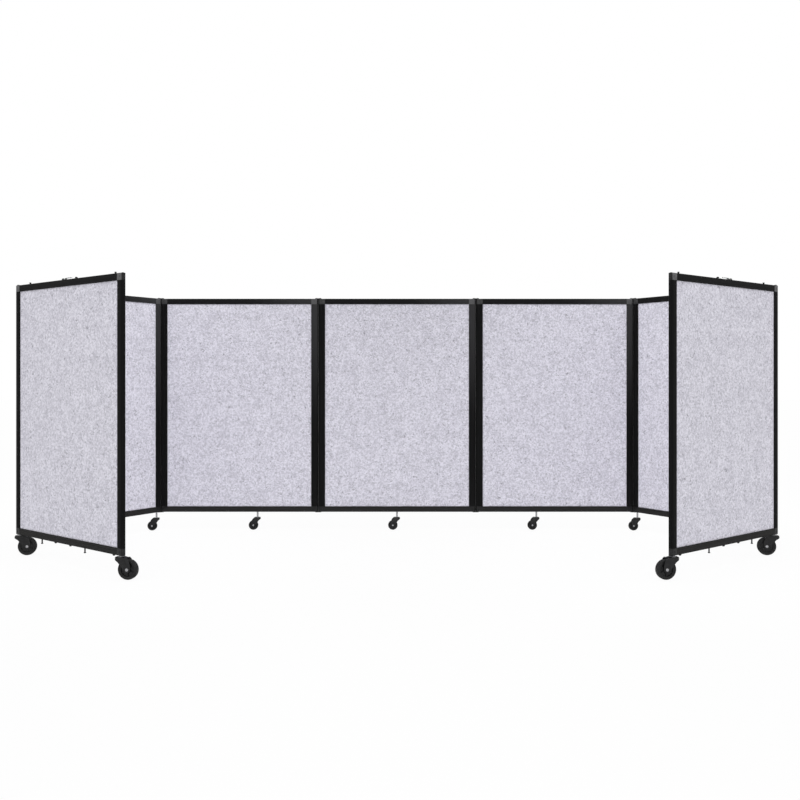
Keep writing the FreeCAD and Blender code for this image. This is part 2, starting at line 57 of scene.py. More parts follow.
LEAF_W = LEAF_HIGH.x - LEAF_LOW.x
LEAF_T = LEAF_HIGH.y - LEAF_LOW.y
FRAME_LOW = LEAF_LOW.z
FRAME_TOP = LEAF_HIGH.z
EDGE_R = LEAF_T / 2


def pivot_at(joint):
    return Vector(JOINTS[joint]["pos_m"])


def standing(at, way):
    """Axes on the floor below a point, with x along a way."""
    return Matrix.Translation((at.x, at.y, 0)) @ Matrix.Rotation(math.atan2(way.y, way.x), 4, "Z")


def leaf_place(leaf):
    """A leaf's own axes, from the middle of its frame and the pivot at one of its edges."""
    low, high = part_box(f"leaf_{leaf}_frame")
    middle = (low + high) / 2
    if leaf == LEAVES[-1]:
        along = middle - pivot_at(f"hinge_{leaf - 1}_{leaf}_right_pivot")
    else:
        along = pivot_at(f"hinge_{leaf}_{leaf + 1}_left_pivot") - middle
    return standing(middle, along) @ Matrix.Translation((-LEAF_W / 2, 0, 0))


LEAF_AT = {leaf: leaf_place(leaf) for leaf in LEAVES}


# The frame of a leaf is four black anodised aluminium extrusions, pushed onto the corner blocks: two
# stiles with a half-round outer edge and two square rails, each with a groove for the infill. The lower
# rails are painted a lighter grey, painted light from the floor, and the middle leaves carry a grey
# painted sheen, a painted reflection, at their upper right corner.
END_LEAVES = (LEAVES[0], LEAVES[-1])
STILE_W = 36 * MM
RAIL_H = 29 * MM
GROOVE_D = 8 * MM
GROOVE_W = 10 * MM
LIP_W = 9.5 * MM
LIP_STEP = 0.7 * MM
BAR_ROUND = 1.0 * MM
LIP_ROUND = 0.4 * MM
ARC_STEPS = 6
CREASE = math.radians(35)
BAR_BLACK = (0.0050, 0.0050, 0.0052)
BAR_GREY = (0.0100, 0.0100, 0.0103)
RAIL_BLACK = (0.0082, 0.0082, 0.0084)
RAIL_GREY = (0.0145, 0.0145, 0.0148)
# Lighter colours of the lower rails: painted light, standing in for light bounced up from the floor.
PAINTED_FLOOR_LIGHT_DARK = (0.0160, 0.0158, 0.0154)
PAINTED_FLOOR_LIGHT_PALE = (0.0320, 0.0315, 0.0305)
# A grey painted sheen, a painted reflection at a leaf's upper right corner, and how far it reaches along and
# up.
PAINTED_SHEEN_GREY = (0.0360, 0.0360, 0.0370)
PAINTED_SHEEN_REACH = (0.42, 0.72)
SATIN = 0.42
SATIN_RANGE = (0.36, 0.5)
SATIN_SHINE = 0.02
SMEARS = 30
DIE_LINES = 900
DIE_LINE_DEEP = 0.02 * MM
ALONG_STILE = (1, 1, 0.004)
ALONG_RAIL = (0.004, 1, 1)
NOISE_SPAN = (0.3, 0.7)


def rounded(corners, steps=ARC_STEPS):
    """Outline in which each corner (a, b, radius) becomes an arc."""
    out = []
    for i, (a, b, radius) in enumerate(corners):
        here = Vector((a, b))
        if not radius:
            out.append(here)
            continue
        back = (Vector(corners[i - 1][:2]) - here).normalized()
        ahead = (Vector(corners[(i + 1) % len(corners)][:2]) - here).normalized()
        half = back.angle(ahead) / 2
        centre = here + (back + ahead).normalized() * (radius / math.sin(half))
        start = here + back * (radius / math.tan(half)) - centre
        end = here + ahead * (radius / math.tan(half)) - centre
        out += [centre + start.slerp(end, k / steps) * radius for k in range(steps + 1)]
    return out


def prism(outline, low, high, axes="xyz"):
    """Closed solid that an outline sweeps from low to high. axes says where its two numbers and
    the run go."""
    order = ["xyz".index(axis) for axis in axes]
    n = len(outline)
    points = []
    for run in (low, high):
        for a, b in outline:
            point = [0.0, 0.0, 0.0]
            for place, value in zip(order, (a, b, run)):
                point[place] = value
            points.append(Vector(point))
    faces = [(i, (i + 1) % n, n + (i + 1) % n, n + i) for i in range(n)]
    return points, faces + [tuple(range(n)), tuple(range(n, 2 * n))]


def softened(bm, radius, segments, sharp):
    """Rounds every edge that turns by more than sharp radians."""
    edges = [e for e in bm.edges if len(e.link_faces) == 2 and e.calc_face_angle() > sharp]
    bmesh.ops.bevel(bm, geom=edges, offset=radius, offset_type="OFFSET", segments=segments,
                    profile=0.5, affect="EDGES", clamp_overlap=True)


def as_mesh(name, bm):
    mesh = bpy.data.meshes.new(name)
    bm.to_mesh(mesh)
    bm.free()
    return mesh


def solid(name, *shapes, bevel=0.0, sharp=0.6):
    """One mesh from closed shapes, with a bevel on its edges if one is given."""
    bm = bmesh.new()
    for points, faces in shapes:
        corners = [bm.verts.new(point) for point in points]
        for face in faces:
            bm.faces.new([corners[i] for i in face])
    bmesh.ops.remove_doubles(bm, verts=bm.verts, dist=MM / 1000)
    bmesh.ops.dissolve_degenerate(bm, edges=bm.edges, dist=MM / 1000)
    bmesh.ops.recalc_face_normals(bm, faces=bm.faces)
    if bevel:
        softened(bm, bevel, 2, sharp)
    return as_mesh(name, bm)


def joined(name, *meshes):
    """One mesh that holds all of these."""
    bm = bmesh.new()
    for mesh in meshes:
        bm.from_mesh(mesh)
    return as_mesh(name, bm)


def reflected(mesh, axis, middle):
    """The mirror twin of a mesh, with its faces the right way out."""
    bm = bmesh.new()
    bm.from_mesh(mesh)
    for vert in bm.verts:
        vert.co[axis] = 2 * middle - vert.co[axis]
    bmesh.ops.reverse_faces(bm, faces=bm.faces)
    return as_mesh(mesh.name, bm)


def left_and_right(mesh):
    return joined(mesh.name, mesh, reflected(mesh, 0, LEAF_W / 2))


def at_top(mesh):
    return reflected(mesh, 2, (FRAME_LOW + FRAME_TOP) / 2)


def piece(name, mesh, place, body, finish, node):
    """Puts a mesh in its place as a piece that rides on a body and stands for a node."""
    mesh.shade_smooth()
    mesh.set_sharp_from_angle(angle=CREASE)
    obj = bpy.data.objects.new(name, mesh)
    bpy.context.scene.collection.objects.link(obj)
    obj.matrix_world = place
    if not mesh.materials:
        mesh.materials.append(finish)
    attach(obj, body)
    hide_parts(node)
    return obj


def surface(material, socket):
    """A socket of the material's own shader."""
    return material.node_tree.nodes["Principled BSDF"].inputs[socket]


def painted(name, colour, roughness, metallic=0.0, specular=0.5):
    """A material whose even values stand on the shader itself. The functions below add its detail."""
    material = bpy.data.materials.new(name)
    material.use_nodes = True
    surface(material, "Base Color").default_value = (*colour, 1)
    surface(material, "Roughness").default_value = roughness
    surface(material, "Metallic").default_value = metallic
    surface(material, "Specular IOR Level").default_value = specular
    return material


def noise(material, scale, detail, stretch=(1, 1, 1), rough=0.5, warp=0.0, place=None):
    """Noise with so many cells to the metre, in the piece's own axes or over another place."""
    tree = material.node_tree
    if place is None:
        mapping = tree.nodes.new("ShaderNodeMapping")
        mapping.inputs["Scale"].default_value = stretch
        tree.links.new(tree.nodes.new("ShaderNodeTexCoord").outputs["Object"], mapping.inputs["Vector"])
        place = mapping.outputs["Vector"]
    texture = tree.nodes.new("ShaderNodeTexNoise")
    for socket, number in (("Scale", scale), ("Detail", detail), ("Roughness", rough), ("Distortion", warp)):
        texture.inputs[socket].default_value = number
    tree.links.new(place, texture.inputs["Vector"])
    return texture.outputs["Fac"]


def spread(material, value, to=(0, 1), span=NOISE_SPAN):
    """A value that runs over a span, made to run from one number to another and no further."""
    node = material.node_tree.nodes.new("ShaderNodeMapRange")
    node.interpolation_type = "SMOOTHSTEP"
    for socket, number in zip(("From Min", "From Max", "To Min", "To Max"), (*span, *to)):
        node.inputs[socket].default_value = number
    material.node_tree.links.new(value, node.inputs["Value"])
    return node.outputs["Result"]


def blended(material, share, dark, light):
    """Colour that goes from dark to light with a share. Each is a colour or another node's result."""
    tree = material.node_tree
    mix = tree.nodes.new("ShaderNodeMix")
    mix.data_type = "RGBA"
    for socket, colour in (("A", dark), ("B", light)):
        if isinstance(colour, tuple):
            mix.inputs[socket].default_value = (*colour, 1)
        else:
            tree.links.new(colour, mix.inputs[socket])
    tree.links.new(share, mix.inputs["Factor"])
    return mix.outputs["Result"]


def tinted(material, share, dark, light):
    """Base colour that goes from dark to light with a share."""
    material.node_tree.links.new(blended(material, share, dark, light), surface(material, "Base Color"))


def roughened(material, share):
    material.node_tree.links.new(share, surface(material, "Roughness"))


def grained(material, height, depth, strength):
    """Relief of that depth in metres."""
    tree = material.node_tree
    bump = tree.nodes.new("ShaderNodeBump")
    bump.inputs["Distance"].default_value = depth
    bump.inputs["Strength"].default_value = strength
    tree.links.new(height, bump.inputs["Height"])
    tree.links.new(bump.outputs["Normal"], surface(material, "Normal"))


def painted_sheen_over(material, grey=PAINTED_SHEEN_GREY):
    """Lays a painted sheen over the base colour: a grey that stands in for a reflection, full at a leaf's
    upper right corner and gone at its reach.
    """
    tree = material.node_tree
    under = surface(material, "Base Color").links[0].from_socket
    away = tree.nodes.new("ShaderNodeMapping")
    away.inputs["Scale"].default_value = (1 / PAINTED_SHEEN_REACH[0], 0, 1 / PAINTED_SHEEN_REACH[1])
    away.inputs["Location"].default_value = (-LEAF_W / PAINTED_SHEEN_REACH[0], 0, -FRAME_TOP / PAINTED_SHEEN_REACH[1])
    distance = tree.nodes.new("ShaderNodeVectorMath")
    distance.operation = "LENGTH"
    tree.links.new(tree.nodes.new("ShaderNodeTexCoord").outputs["Object"], away.inputs["Vector"])
    tree.links.new(away.outputs["Vector"], distance.inputs[0])
    tinted(material, spread(material, distance.outputs["Value"], (1, 0), (0, 1)), under, grey)
    return material


def anodised(name, stretch, dark=BAR_BLACK, light=BAR_GREY):
    """Satin black anodising, with faint die lines that run the way the bar was drawn."""
    material = painted(name, dark, SATIN, specular=SATIN_SHINE)
    lines = noise(material, DIE_LINES, 3, stretch)
    tinted(material, spread(material, lines, span=(0.3, 0.75)), dark, light)
    roughened(material, spread(material, noise(material, SMEARS, 3), SATIN_RANGE))
    grained(material, lines, DIE_LINE_DEEP, 0.6)
    return material


def bar_outline(width, edge_round):
    """Section of a bar, the same on both sides. Its outer edge is at 0 and its lips are at width."""
    step = EDGE_R - LIP_STEP
    side = [(0, EDGE_R, edge_round), (width - LIP_W, EDGE_R, LIP_ROUND), (width - LIP_W, step, 0),
            (width, step, BAR_ROUND), (width, GROOVE_W / 2, LIP_ROUND), (width - GROOVE_D, GROOVE_W / 2, 0)]
    return rounded([(a, -b, r) for a, b, r in side] + side[::-1])


stile = prism(bar_outline(STILE_W, EDGE_R), FRAME_LOW + RAIL_H, FRAME_TOP - RAIL_H)
rail_outline = [(FRAME_LOW + a, b) for a, b in bar_outline(RAIL_H, BAR_ROUND)]
STILES = left_and_right(solid("stiles", stile))
LOW_RAIL = solid("low_rail", prism(rail_outline, STILE_W, LEAF_W - STILE_W, "zyx"))
TOP_RAIL = at_top(LOW_RAIL)
STILE_BLACK = anodised("black_anodised_upright", ALONG_STILE)
TOP_BLACK = anodised("black_anodised_level", ALONG_RAIL, RAIL_BLACK, RAIL_GREY)
# The stiles and top rails of the middle leaves carry a painted sheen, a painted reflection at their upper
# right corner.
STILE_PAINTED_SHEEN = painted_sheen_over(anodised("black_anodised_upright_painted_sheen", ALONG_STILE))
TOP_PAINTED_SHEEN = painted_sheen_over(anodised("black_anodised_level_painted_sheen", ALONG_RAIL, RAIL_BLACK, RAIL_GREY))
# The lower rails are painted lighter than the rest of the frame, painted light from the floor.
LOW_PAINTED_FLOOR_LIGHT = anodised("black_anodised_painted_floor_light", ALONG_RAIL, PAINTED_FLOOR_LIGHT_DARK, PAINTED_FLOOR_LIGHT_PALE)
for leaf in LEAVES:
    body, node = f"leaf_{leaf}", f"leaf_{leaf}_frame"
    sides, top = (STILE_BLACK, TOP_BLACK) if leaf in END_LEAVES else (STILE_PAINTED_SHEEN, TOP_PAINTED_SHEEN)
    piece(f"leaf_{leaf}_stiles", STILES.copy(), LEAF_AT[leaf], body, sides, node)
    piece(f"leaf_{leaf}_top_rail", TOP_RAIL.copy(), LEAF_AT[leaf], body, top, node)
    piece(f"leaf_{leaf}_low_rail", LOW_RAIL, LEAF_AT[leaf], body, LOW_PAINTED_FLOOR_LIGHT, node)


# Moulded plastic blocks close the four corners of a leaf, grey ones at the top and black ones at the
# bottom. Each carries on the stile's half-round edge with a black nose, and has a shallow round dish
# on both faces, with a plug at the bottom of it over the screw that draws its spigots tight.
BLOCK_ROUND = 0.9 * MM
DISH_R = 5.6 * MM
DISH_DEEP = 1.4 * MM
PLUG_R = 3.9 * MM
PLUG_LOW = 0.5 * MM
PLUG_SOFT = 1.0 * MM
TURNS = 32
NOSE_W = 6 * MM
BLOCK_GREY_DARK = (0.050, 0.050, 0.052)
BLOCK_GREY_LIGHT = (0.095, 0.095, 0.098)
PLUG_GREY_DARK = (0.034, 0.034, 0.036)
PLUG_GREY_LIGHT = (0.062, 0.062, 0.064)
# A darker grey for the top blocks and plugs of the middle leaves, with a grey painted sheen over it: painted
# shade and a painted highlight on the same moulding as the end leaves' blocks.
BLOCK_PAINTED_SHADE_DARK = (0.019, 0.019, 0.020)
BLOCK_PAINTED_SHADE_LIGHT = (0.034, 0.034, 0.035)
BLOCK_PAINTED_SHEEN = (0.072, 0.072, 0.074)
BLOCK_BLACK_DARK = (0.0060, 0.0060, 0.0063)
BLOCK_BLACK_LIGHT = (0.0120, 0.0120, 0.0124)
MOULD_DRIFTS = 60
MOULD_CLOUDS = 180
MOULD_GRAIN = 2600
MOULD_GRAIN_DEEP = 0.03 * MM
MOULD_RANGE = 0.07


def lathe(outline, at, axis="z", turns=TURNS):
    """Closed solid turned from a closed outline of (radius, height) about an axis through a point."""
    spin = {"z": ((1, 0, 0), (0, 1, 0), (0, 0, 1)), "y": ((1, 0, 0), (0, 0, 1), (0, 1, 0))}[axis]
    u, v, w = (Vector(way) for way in spin)
    points = []
    for k in range(turns):
        angle = 2 * math.pi * k / turns
        for radius, height in outline:
            ring = u * math.cos(angle) + v * math.sin(angle)
            points.append(Vector(at) + ring * radius + w * height)
    n = len(outline)
    faces = []
    for k in range(turns):
        for i in range(n):
            j, m = (i + 1) % n, (k + 1) % turns
            quad = [(k, i), (k, j), (m, j), (m, i)]
            if outline[i][0] == 0 and outline[j][0] == 0:
                continue
            if outline[i][0] == 0:
                quad.remove((m, i))
            elif outline[j][0] == 0:
                quad.remove((m, j))
            faces.append(tuple(a * n + b for a, b in quad))
    return points, faces


def both_faces(outline, at):
    """The same turned shape towards the front and towards the back of a point."""
    return [lathe([(radius, height * side) for radius, height in outline], at, "y") for side in (1, -1)]


def slab(low, high, half, low_round=0, high_round=0):
    """Outline that runs from low to high, with its own rounding at each end."""
    return rounded([(low, -half, low_round), (high, -half, high_round),
                    (high, half, high_round), (low, half, low_round)])


def carved(mesh, cutter, operation="DIFFERENCE"):
    """A mesh with another's shape cut out of it, or kept of it."""
    base, tool = bpy.data.objects.new("base", mesh), bpy.data.objects.new("tool", cutter)
    for obj in (base, tool):
        bpy.context.scene.collection.objects.link(obj)
    cut = base.modifiers.new("cut", "BOOLEAN")
    cut.operation, cut.object, cut.solver = operation, tool, "EXACT"
    bpy.context.view_layer.update()
    out = bpy.data.meshes.new_from_object(base.evaluated_get(bpy.context.evaluated_depsgraph_get()))
    out.name = mesh.name
    for obj in (base, tool):
        bpy.data.objects.remove(obj)
    return out


def moulded(name, dark, light, roughness, specular=0.4):
    """Moulded plastic: even colour with slow drifts, and the fine matt grain of the mould."""
    material = painted(name, light, roughness, specular=specular)
    low, high = roughness - MOULD_RANGE, roughness + MOULD_RANGE
    tinted(material, spread(material, noise(material, MOULD_DRIFTS, 3)), dark, light)
    roughened(material, spread(material, noise(material, MOULD_CLOUDS, 2), (low, high)))
    grained(material, noise(material, MOULD_GRAIN, 2), MOULD_GRAIN_DEEP, 0.7)
    return material


def corner_block():
    """Block, nose and plugs of a leaf's lower left corner."""
    plan = slab(0, STILE_W, EDGE_R, EDGE_R, LIP_ROUND)
    block = solid("block", prism(plan, FRAME_LOW, FRAME_LOW + RAIL_H), bevel=BLOCK_ROUND)
    at = (STILE_W / 2, 0, FRAME_LOW + RAIL_H / 2)
    low, top = EDGE_R - DISH_DEEP, EDGE_R - PLUG_LOW
    dish = [(0, low), (DISH_R - DISH_DEEP, low), (DISH_R, EDGE_R + MM), (0, EDGE_R + MM)]
    plug = [(0, low - MM), (PLUG_R, low - MM), (PLUG_R, top - PLUG_SOFT / 2),
            (PLUG_R - PLUG_SOFT, top), (0, top)]
    for shape in both_faces(dish, at):
        block = carved(block, solid("dish", shape))
    edge = solid("edge", prism(slab(-EDGE_R, NOSE_W, LEAF_T), FRAME_LOW - RAIL_H, FRAME_LOW + 2 * RAIL_H))
    return carved(block, edge), carved(block, edge, "INTERSECT"), solid("plugs", *both_faces(plug, at))


BLOCKS, noses, PLUGS = (left_and_right(mesh) for mesh in corner_block())
NOSES = joined("noses", noses, at_top(noses))
BLOCK_GREY = moulded("grey_block_moulding", BLOCK_GREY_DARK, BLOCK_GREY_LIGHT, 0.5)
PLUG_GREY = moulded("grey_plug_moulding", PLUG_GREY_DARK, PLUG_GREY_LIGHT, 0.5)
BLOCK_BLACK = moulded("black_block_moulding", BLOCK_BLACK_DARK, BLOCK_BLACK_LIGHT, 0.45, specular=0.2)
BLOCK_PAINTED_SHADE_AND_SHEEN = painted_sheen_over(moulded("grey_block_moulding_painted_shade_and_sheen", BLOCK_PAINTED_SHADE_DARK, BLOCK_PAINTED_SHADE_LIGHT, 0.5), BLOCK_PAINTED_SHEEN)
for leaf in LEAVES:
    # The top blocks and plugs of the middle leaves take the moulding with painted shade and a painted sheen.
    grey, plug_grey = (BLOCK_GREY, PLUG_GREY) if leaf in END_LEAVES else (BLOCK_PAINTED_SHADE_AND_SHEEN, BLOCK_PAINTED_SHADE_AND_SHEEN)
    parts = (("top_corners", at_top(BLOCKS), grey), ("top_plugs", at_top(PLUGS), plug_grey),
             ("bottom_corners", BLOCKS.copy(), BLOCK_BLACK), ("bottom_plugs", PLUGS.copy(), BLOCK_BLACK),
             ("corner_noses", NOSES, BLOCK_BLACK))
    for name, mesh, finish in parts:
        piece(f"leaf_{leaf}_{name}", mesh, LEAF_AT[leaf], f"leaf_{leaf}", finish,
              f"leaf_{leaf}_corner_blocks")


# A sheet of clear polycarbonate stiffens each leaf. It stands in the groove between the two felts,
# so only its finish is set here and its own solid stays.
SHEET_TINT = (0.82, 0.85, 0.88)
SHEET_CLEAR = 0.85
SHEET_HAZES = 8
SHEET_ROUGH = 0.12
SHEET_ROUGH_RANGE = (0.05, 0.16)
POLYCARBONATE = painted("clear_polycarbonate", SHEET_TINT, SHEET_ROUGH)
surface(POLYCARBONATE, "Transmission Weight").default_value = SHEET_CLEAR
roughened(POLYCARBONATE, spread(POLYCARBONATE, noise(POLYCARBONATE, SHEET_HAZES, 4), SHEET_ROUGH_RANGE))
for leaf in LEAVES:
    slots = frame["nodes"][f"leaf_{leaf}_sheet"].data.materials
    slots.clear()
    slots.append(POLYCARBONATE)


# The felt skins face both sides of a leaf. They are pressed from pale lavender fibre with darker
# grey fibres carded into it, are cut one after another from a roll, and are pinched at the rim by
# the lips of the frame, so that each stands a little proud of its rim inside them.
SHEET_T = 3 * MM
FELT_INSET = STILE_W - GROOVE_D + 1 * MM
FELT_LOW = FRAME_LOW + RAIL_H - GROOVE_D
FELT_HIGH = FRAME_TOP - RAIL_H + GROOVE_D - 1 * MM
FELT_SWELL = 1.0 * MM
FELT_RIM = 7 * MM
FELT_EASE = 9 * MM
FELT_WAVE_H = 0.15 * MM
FELT_CELL = 18 * MM
RIM_SHARES = (0.0, 0.5, 0.8, 1.0, 1.25, 1.55, 1.9, 2.3)
FELT_PALE = (0.750, 0.737, 0.812)
FELT_BODY = (0.503, 0.492, 0.556)
FELT_DARK = (0.210, 0.206, 0.238)
FELT_WAVES = ((23, 1.7, 9), (19, 1.3, 11))
FELT_ROUGH = 0.95
FELT_SHINE = 0.15
FELT_SHEEN = 0.12
FELT_SHEEN_ROUGH = 0.6
# A noise is given by its cells to the metre, detail, roughness and warp, and strokes by their cells,
# width and clusters to the metre.
FELT_CLOUDS = (110, 4, 0.75)
FELT_CLOUD_SPAN = (0.36, 0.64)
FELT_DRIFTS = (14, 3)
DRIFT_SHARE = 0.12
LONG_STROKES = (60, 0.036, 75)
SHORT_STROKES = (130, 0.06, 120)
STROKE_GATES = (0.52, 0.62)
STROKE_DARK = 0.9
SHORT_SHARE = 0.8
NAP_FINE = (1400, 3, 0.7, 0.6)
NAP_COARSE = (420, 2, 0.5, 1.2)
NAP_COARSE_SHARE = 0.8
NAP_DEEP = 0.22 * MM


def felt_steps(low, high):
    """Places of the mesh lines from rim to rim: close together at the rims, wide in the middle."""
    rims = [FELT_RIM * share for share in RIM_SHARES]
    inner_low, inner_high = low + rims[-1], high - rims[-1]
    count = round((inner_high - inner_low) / FELT_CELL)
    middle = [inner_low + (inner_high - inner_low) * k / count for k in range(1, count)]
    return [low + rim for rim in rims] + middle + [high - rim for rim in reversed(rims)]


def sway(a, b, waves, bend, bends):
    """Waves along a whose crests wander with b."""
    return math.sin(a * waves + bend * math.sin(b * bends))


def felt_height(x, z):
    """How far the face stands from the sheet."""
    rim = min(x - FELT_INSET, LEAF_W - FELT_INSET - x, z - FELT_LOW, FELT_HIGH - z)
    share = min(max((rim - FELT_RIM) / FELT_EASE, 0), 1)
    swell = FELT_SWELL * math.sin(share * math.pi / 2)
    wave = sway(x, z, *FELT_WAVES[0]) * sway(z, x, *FELT_WAVES[1])
    return GROOVE_W / 2 + swell + FELT_WAVE_H * share * wave


def felt_skin(number, side):
    """Closed slab of felt on one face of a leaf, with its place on the roll kept for its pattern."""
    xs, zs = felt_steps(FELT_INSET, LEAF_W - FELT_INSET), felt_steps(FELT_LOW, FELT_HIGH)
    front = [(x, side * felt_height(x, z), z) for z in zs for x in xs]
    back = [(x, side * SHEET_T / 2, z) for x, y, z in front]
    n, m = len(xs), len(zs)
    grid = [(j * n + i, j * n + i + 1, (j + 1) * n + i + 1, (j + 1) * n + i)
            for j in range(m - 1) for i in range(n - 1)]
    rim = [i for i in range(n)] + [j * n + n - 1 for j in range(1, m)]
    rim += [(m - 1) * n + i for i in range(n - 2, -1, -1)] + [j * n for j in range(m - 2, 0, -1)]
    total = n * m
    faces = grid + [tuple(total + i for i in face) for face in grid]
    faces += [(rim[k - 1], rim[k], total + rim[k], total + rim[k - 1]) for k in range(len(rim))]
    mesh = solid("felt", (front + back, faces))
    on_roll = mesh.attributes.new("on_roll", "FLOAT", "POINT")
    for item in on_roll.data:
        item.value = number * (FELT_HIGH - FELT_LOW)
    return mesh


def felted(name):
    """Pressed felt: clouded pale ground, short soft dark strokes in clusters, and a fibrous nap."""
    material = painted(name, FELT_BODY, FELT_ROUGH, specular=FELT_SHINE)
    surface(material, "Sheen Weight").default_value = FELT_SHEEN
    surface(material, "Sheen Roughness").default_value = FELT_SHEEN_ROUGH
    tree = material.node_tree
    place = tree.nodes.new("ShaderNodeTexCoord")
    roll = tree.nodes.new("ShaderNodeAttribute")
    roll.attribute_name = "on_roll"
    along = tree.nodes.new("ShaderNodeCombineXYZ")
    cut = tree.nodes.new("ShaderNodeVectorMath")
    tree.links.new(roll.outputs["Fac"], along.inputs["Z"])
    tree.links.new(place.outputs["Object"], cut.inputs[0])
    tree.links.new(along.outputs["Vector"], cut.inputs[1])

    def cloud(scale, detail, rough=0.5, warp=0.0):
        return noise(material, scale, detail, rough=rough, warp=warp, place=cut.outputs["Vector"])

    def worked(operation, one, two):
        """Result of an operation on two values, each a number or another node's result."""
        node = tree.nodes.new("ShaderNodeMath")
        node.operation = operation
        for socket, item in zip(node.inputs, (one, two)):
            if isinstance(item, float):
                socket.default_value = item
            else:
                tree.links.new(item, socket)
        return node.outputs["Value"]

    def strokes(scale, width, clusters):
        """Thin winding lines of a noise's middle value, broken into short strokes by another noise."""
        ridge = worked("ABSOLUTE", worked("SUBTRACT", cloud(scale, 1, warp=0.8), 0.5), 0.0)
        line = spread(material, ridge, (1, 0), (0, width))
        return worked("MULTIPLY", line, spread(material, cloud(clusters, 1), span=STROKE_GATES))

    ground = spread(material, cloud(*FELT_CLOUDS), span=FELT_CLOUD_SPAN)
    drift = spread(material, cloud(*FELT_DRIFTS), (-DRIFT_SHARE, DRIFT_SHARE))
    pale = blended(material, worked("ADD", ground, drift), FELT_BODY, FELT_PALE)
    dark = worked("MAXIMUM", strokes(*LONG_STROKES), worked("MULTIPLY", strokes(*SHORT_STROKES), SHORT_SHARE))
    tinted(material, worked("MULTIPLY", dark, STROKE_DARK), pale, FELT_DARK)
    nap = worked("ADD", cloud(*NAP_FINE), worked("MULTIPLY", cloud(*NAP_COARSE), NAP_COARSE_SHARE))
    grained(material, nap, NAP_DEEP, 0.7)
    return material


FELT = felted("pressed_felt")
for leaf in LEAVES:
    for side, name in ((-1, "front"), (1, "back")):
        number = 2 * LEAVES.index(leaf) + (side > 0)
        skin = piece(f"leaf_{leaf}_felt_{name}", felt_skin(number, side), LEAF_AT[leaf], f"leaf_{leaf}",
                     FELT, f"leaf_{leaf}_felts")


# Two leaves are joined by a double-pivot hinge: a steel link plate above the corner blocks and one
# below them, on four steel pins that turn in the blocks. The upper pins have low domed heads. A thin
# steel strip between the plates keeps light from showing through the gap between the leaves.
PIN_R = 3.5 * MM
PIN_IN = 24 * MM
PLATE_T = 2.5 * MM
PLATE_W = 12 * MM
PLATE_CLEAR = 0.4 * MM
PLATE_ROUND = 0.5 * MM
HEAD_R = 4.8 * MM
HEAD_H = 1.5 * MM
STRIP_HALF = 0.3 * MM
STEEL_BLACK = (0.006, 0.006, 0.0065)
STEEL_WORN = (0.016, 0.016, 0.017)
DOME_STEPS = 5
DOME_RIM = 0.35
COAT_WEAR = 140
COAT_GRAIN = 1100
COAT_GRAIN_DEEP = 0.02 * MM


def coated(name, dark, light, roughness):
    """Black coated steel, a little brighter and smoother where hands and tools have rubbed it."""
    material = painted(name, dark, roughness, specular=0.25)
    wear = noise(material, COAT_WEAR, 5, rough=0.6)
    tinted(material, spread(material, wear, span=(0.45, 0.72)), dark, light)
    roughened(material, spread(material, wear, (roughness + 0.05, roughness - 0.1), (0.35, 0.7)))
    grained(material, noise(material, COAT_GRAIN, 2), COAT_GRAIN_DEEP, 0.5)
    return material


def dome(radius, low, high):
    """Outline of a low dome on a short rim, as (radius, height) from its edge to its top."""
    rim = low + (high - low) * DOME_RIM
    turns = [math.pi / 2 * k / DOME_STEPS for k in range(DOME_STEPS)]
    bow = [(radius * math.cos(turn), rim + (high - rim) * math.sin(turn)) for turn in turns]
    return [(radius, low)] + bow + [(0, high)]


def headed(low, shank_r, neck, head_r, top):
    """Outline of a pin whose shank runs from low to its neck, with a domed head above."""
    return [(0, low), (shank_r, low), (shank_r, neck)] + dome(head_r, neck, top)


def hinge_place(left_leaf):
    """A hinge's own axes, from its left pivot towards its right one, and the way between them."""
    left, right = (pivot_at(f"hinge_{left_leaf}_{left_leaf + 1}_{side}_pivot") for side in ("left", "right"))
    return standing(left, right - left), (right - left).length


LINK_L = hinge_place(LEAVES[0])[1]
plate_r = PLATE_W / 2
plate_outline = slab(-plate_r, LINK_L + plate_r, plate_r, plate_r, plate_r)
plate_top = FRAME_TOP + PLATE_CLEAR + PLATE_T
plate_low = FRAME_LOW - PLATE_CLEAR - PLATE_T
upper_pin = headed(FRAME_TOP - PIN_IN, PIN_R, plate_top, HEAD_R, plate_top + HEAD_H)
lower_pin = [(0, FRAME_LOW + PIN_IN), (PIN_R, FRAME_LOW + PIN_IN), (PIN_R, plate_low), (0, plate_low)]
PLATES = solid("link_plates", prism(plate_outline, plate_top - PLATE_T, plate_top),
               prism(plate_outline, plate_low, plate_low + PLATE_T), bevel=PLATE_ROUND)
PINS = solid("hinge_pins", *[lathe(pin, (x, 0, 0)) for pin in (upper_pin, lower_pin) for x in (0, LINK_L)])
strip_outline = slab(LINK_L / 2 - STRIP_HALF, LINK_L / 2 + STRIP_HALF, plate_r)
SIGHT_STRIP = solid("sight_strip", prism(strip_outline, plate_low + PLATE_T, plate_top - PLATE_T))
LINK_BLACK = coated("black_coated_link", STEEL_BLACK, STEEL_WORN, 0.42)
for leaf in LEAVES[:-1]:
    hinge = f"hinge_{leaf}_{leaf + 1}"
    place = hinge_place(leaf)[0]
    piece(f"{hinge}_plates", PLATES, place, hinge, LINK_BLACK, hinge)
    piece(f"{hinge}_pins", PINS, place, hinge, LINK_BLACK, hinge)
    piece(f"{hinge}_sight_strip", SIGHT_STRIP, place, hinge, LINK_BLACK, hinge)


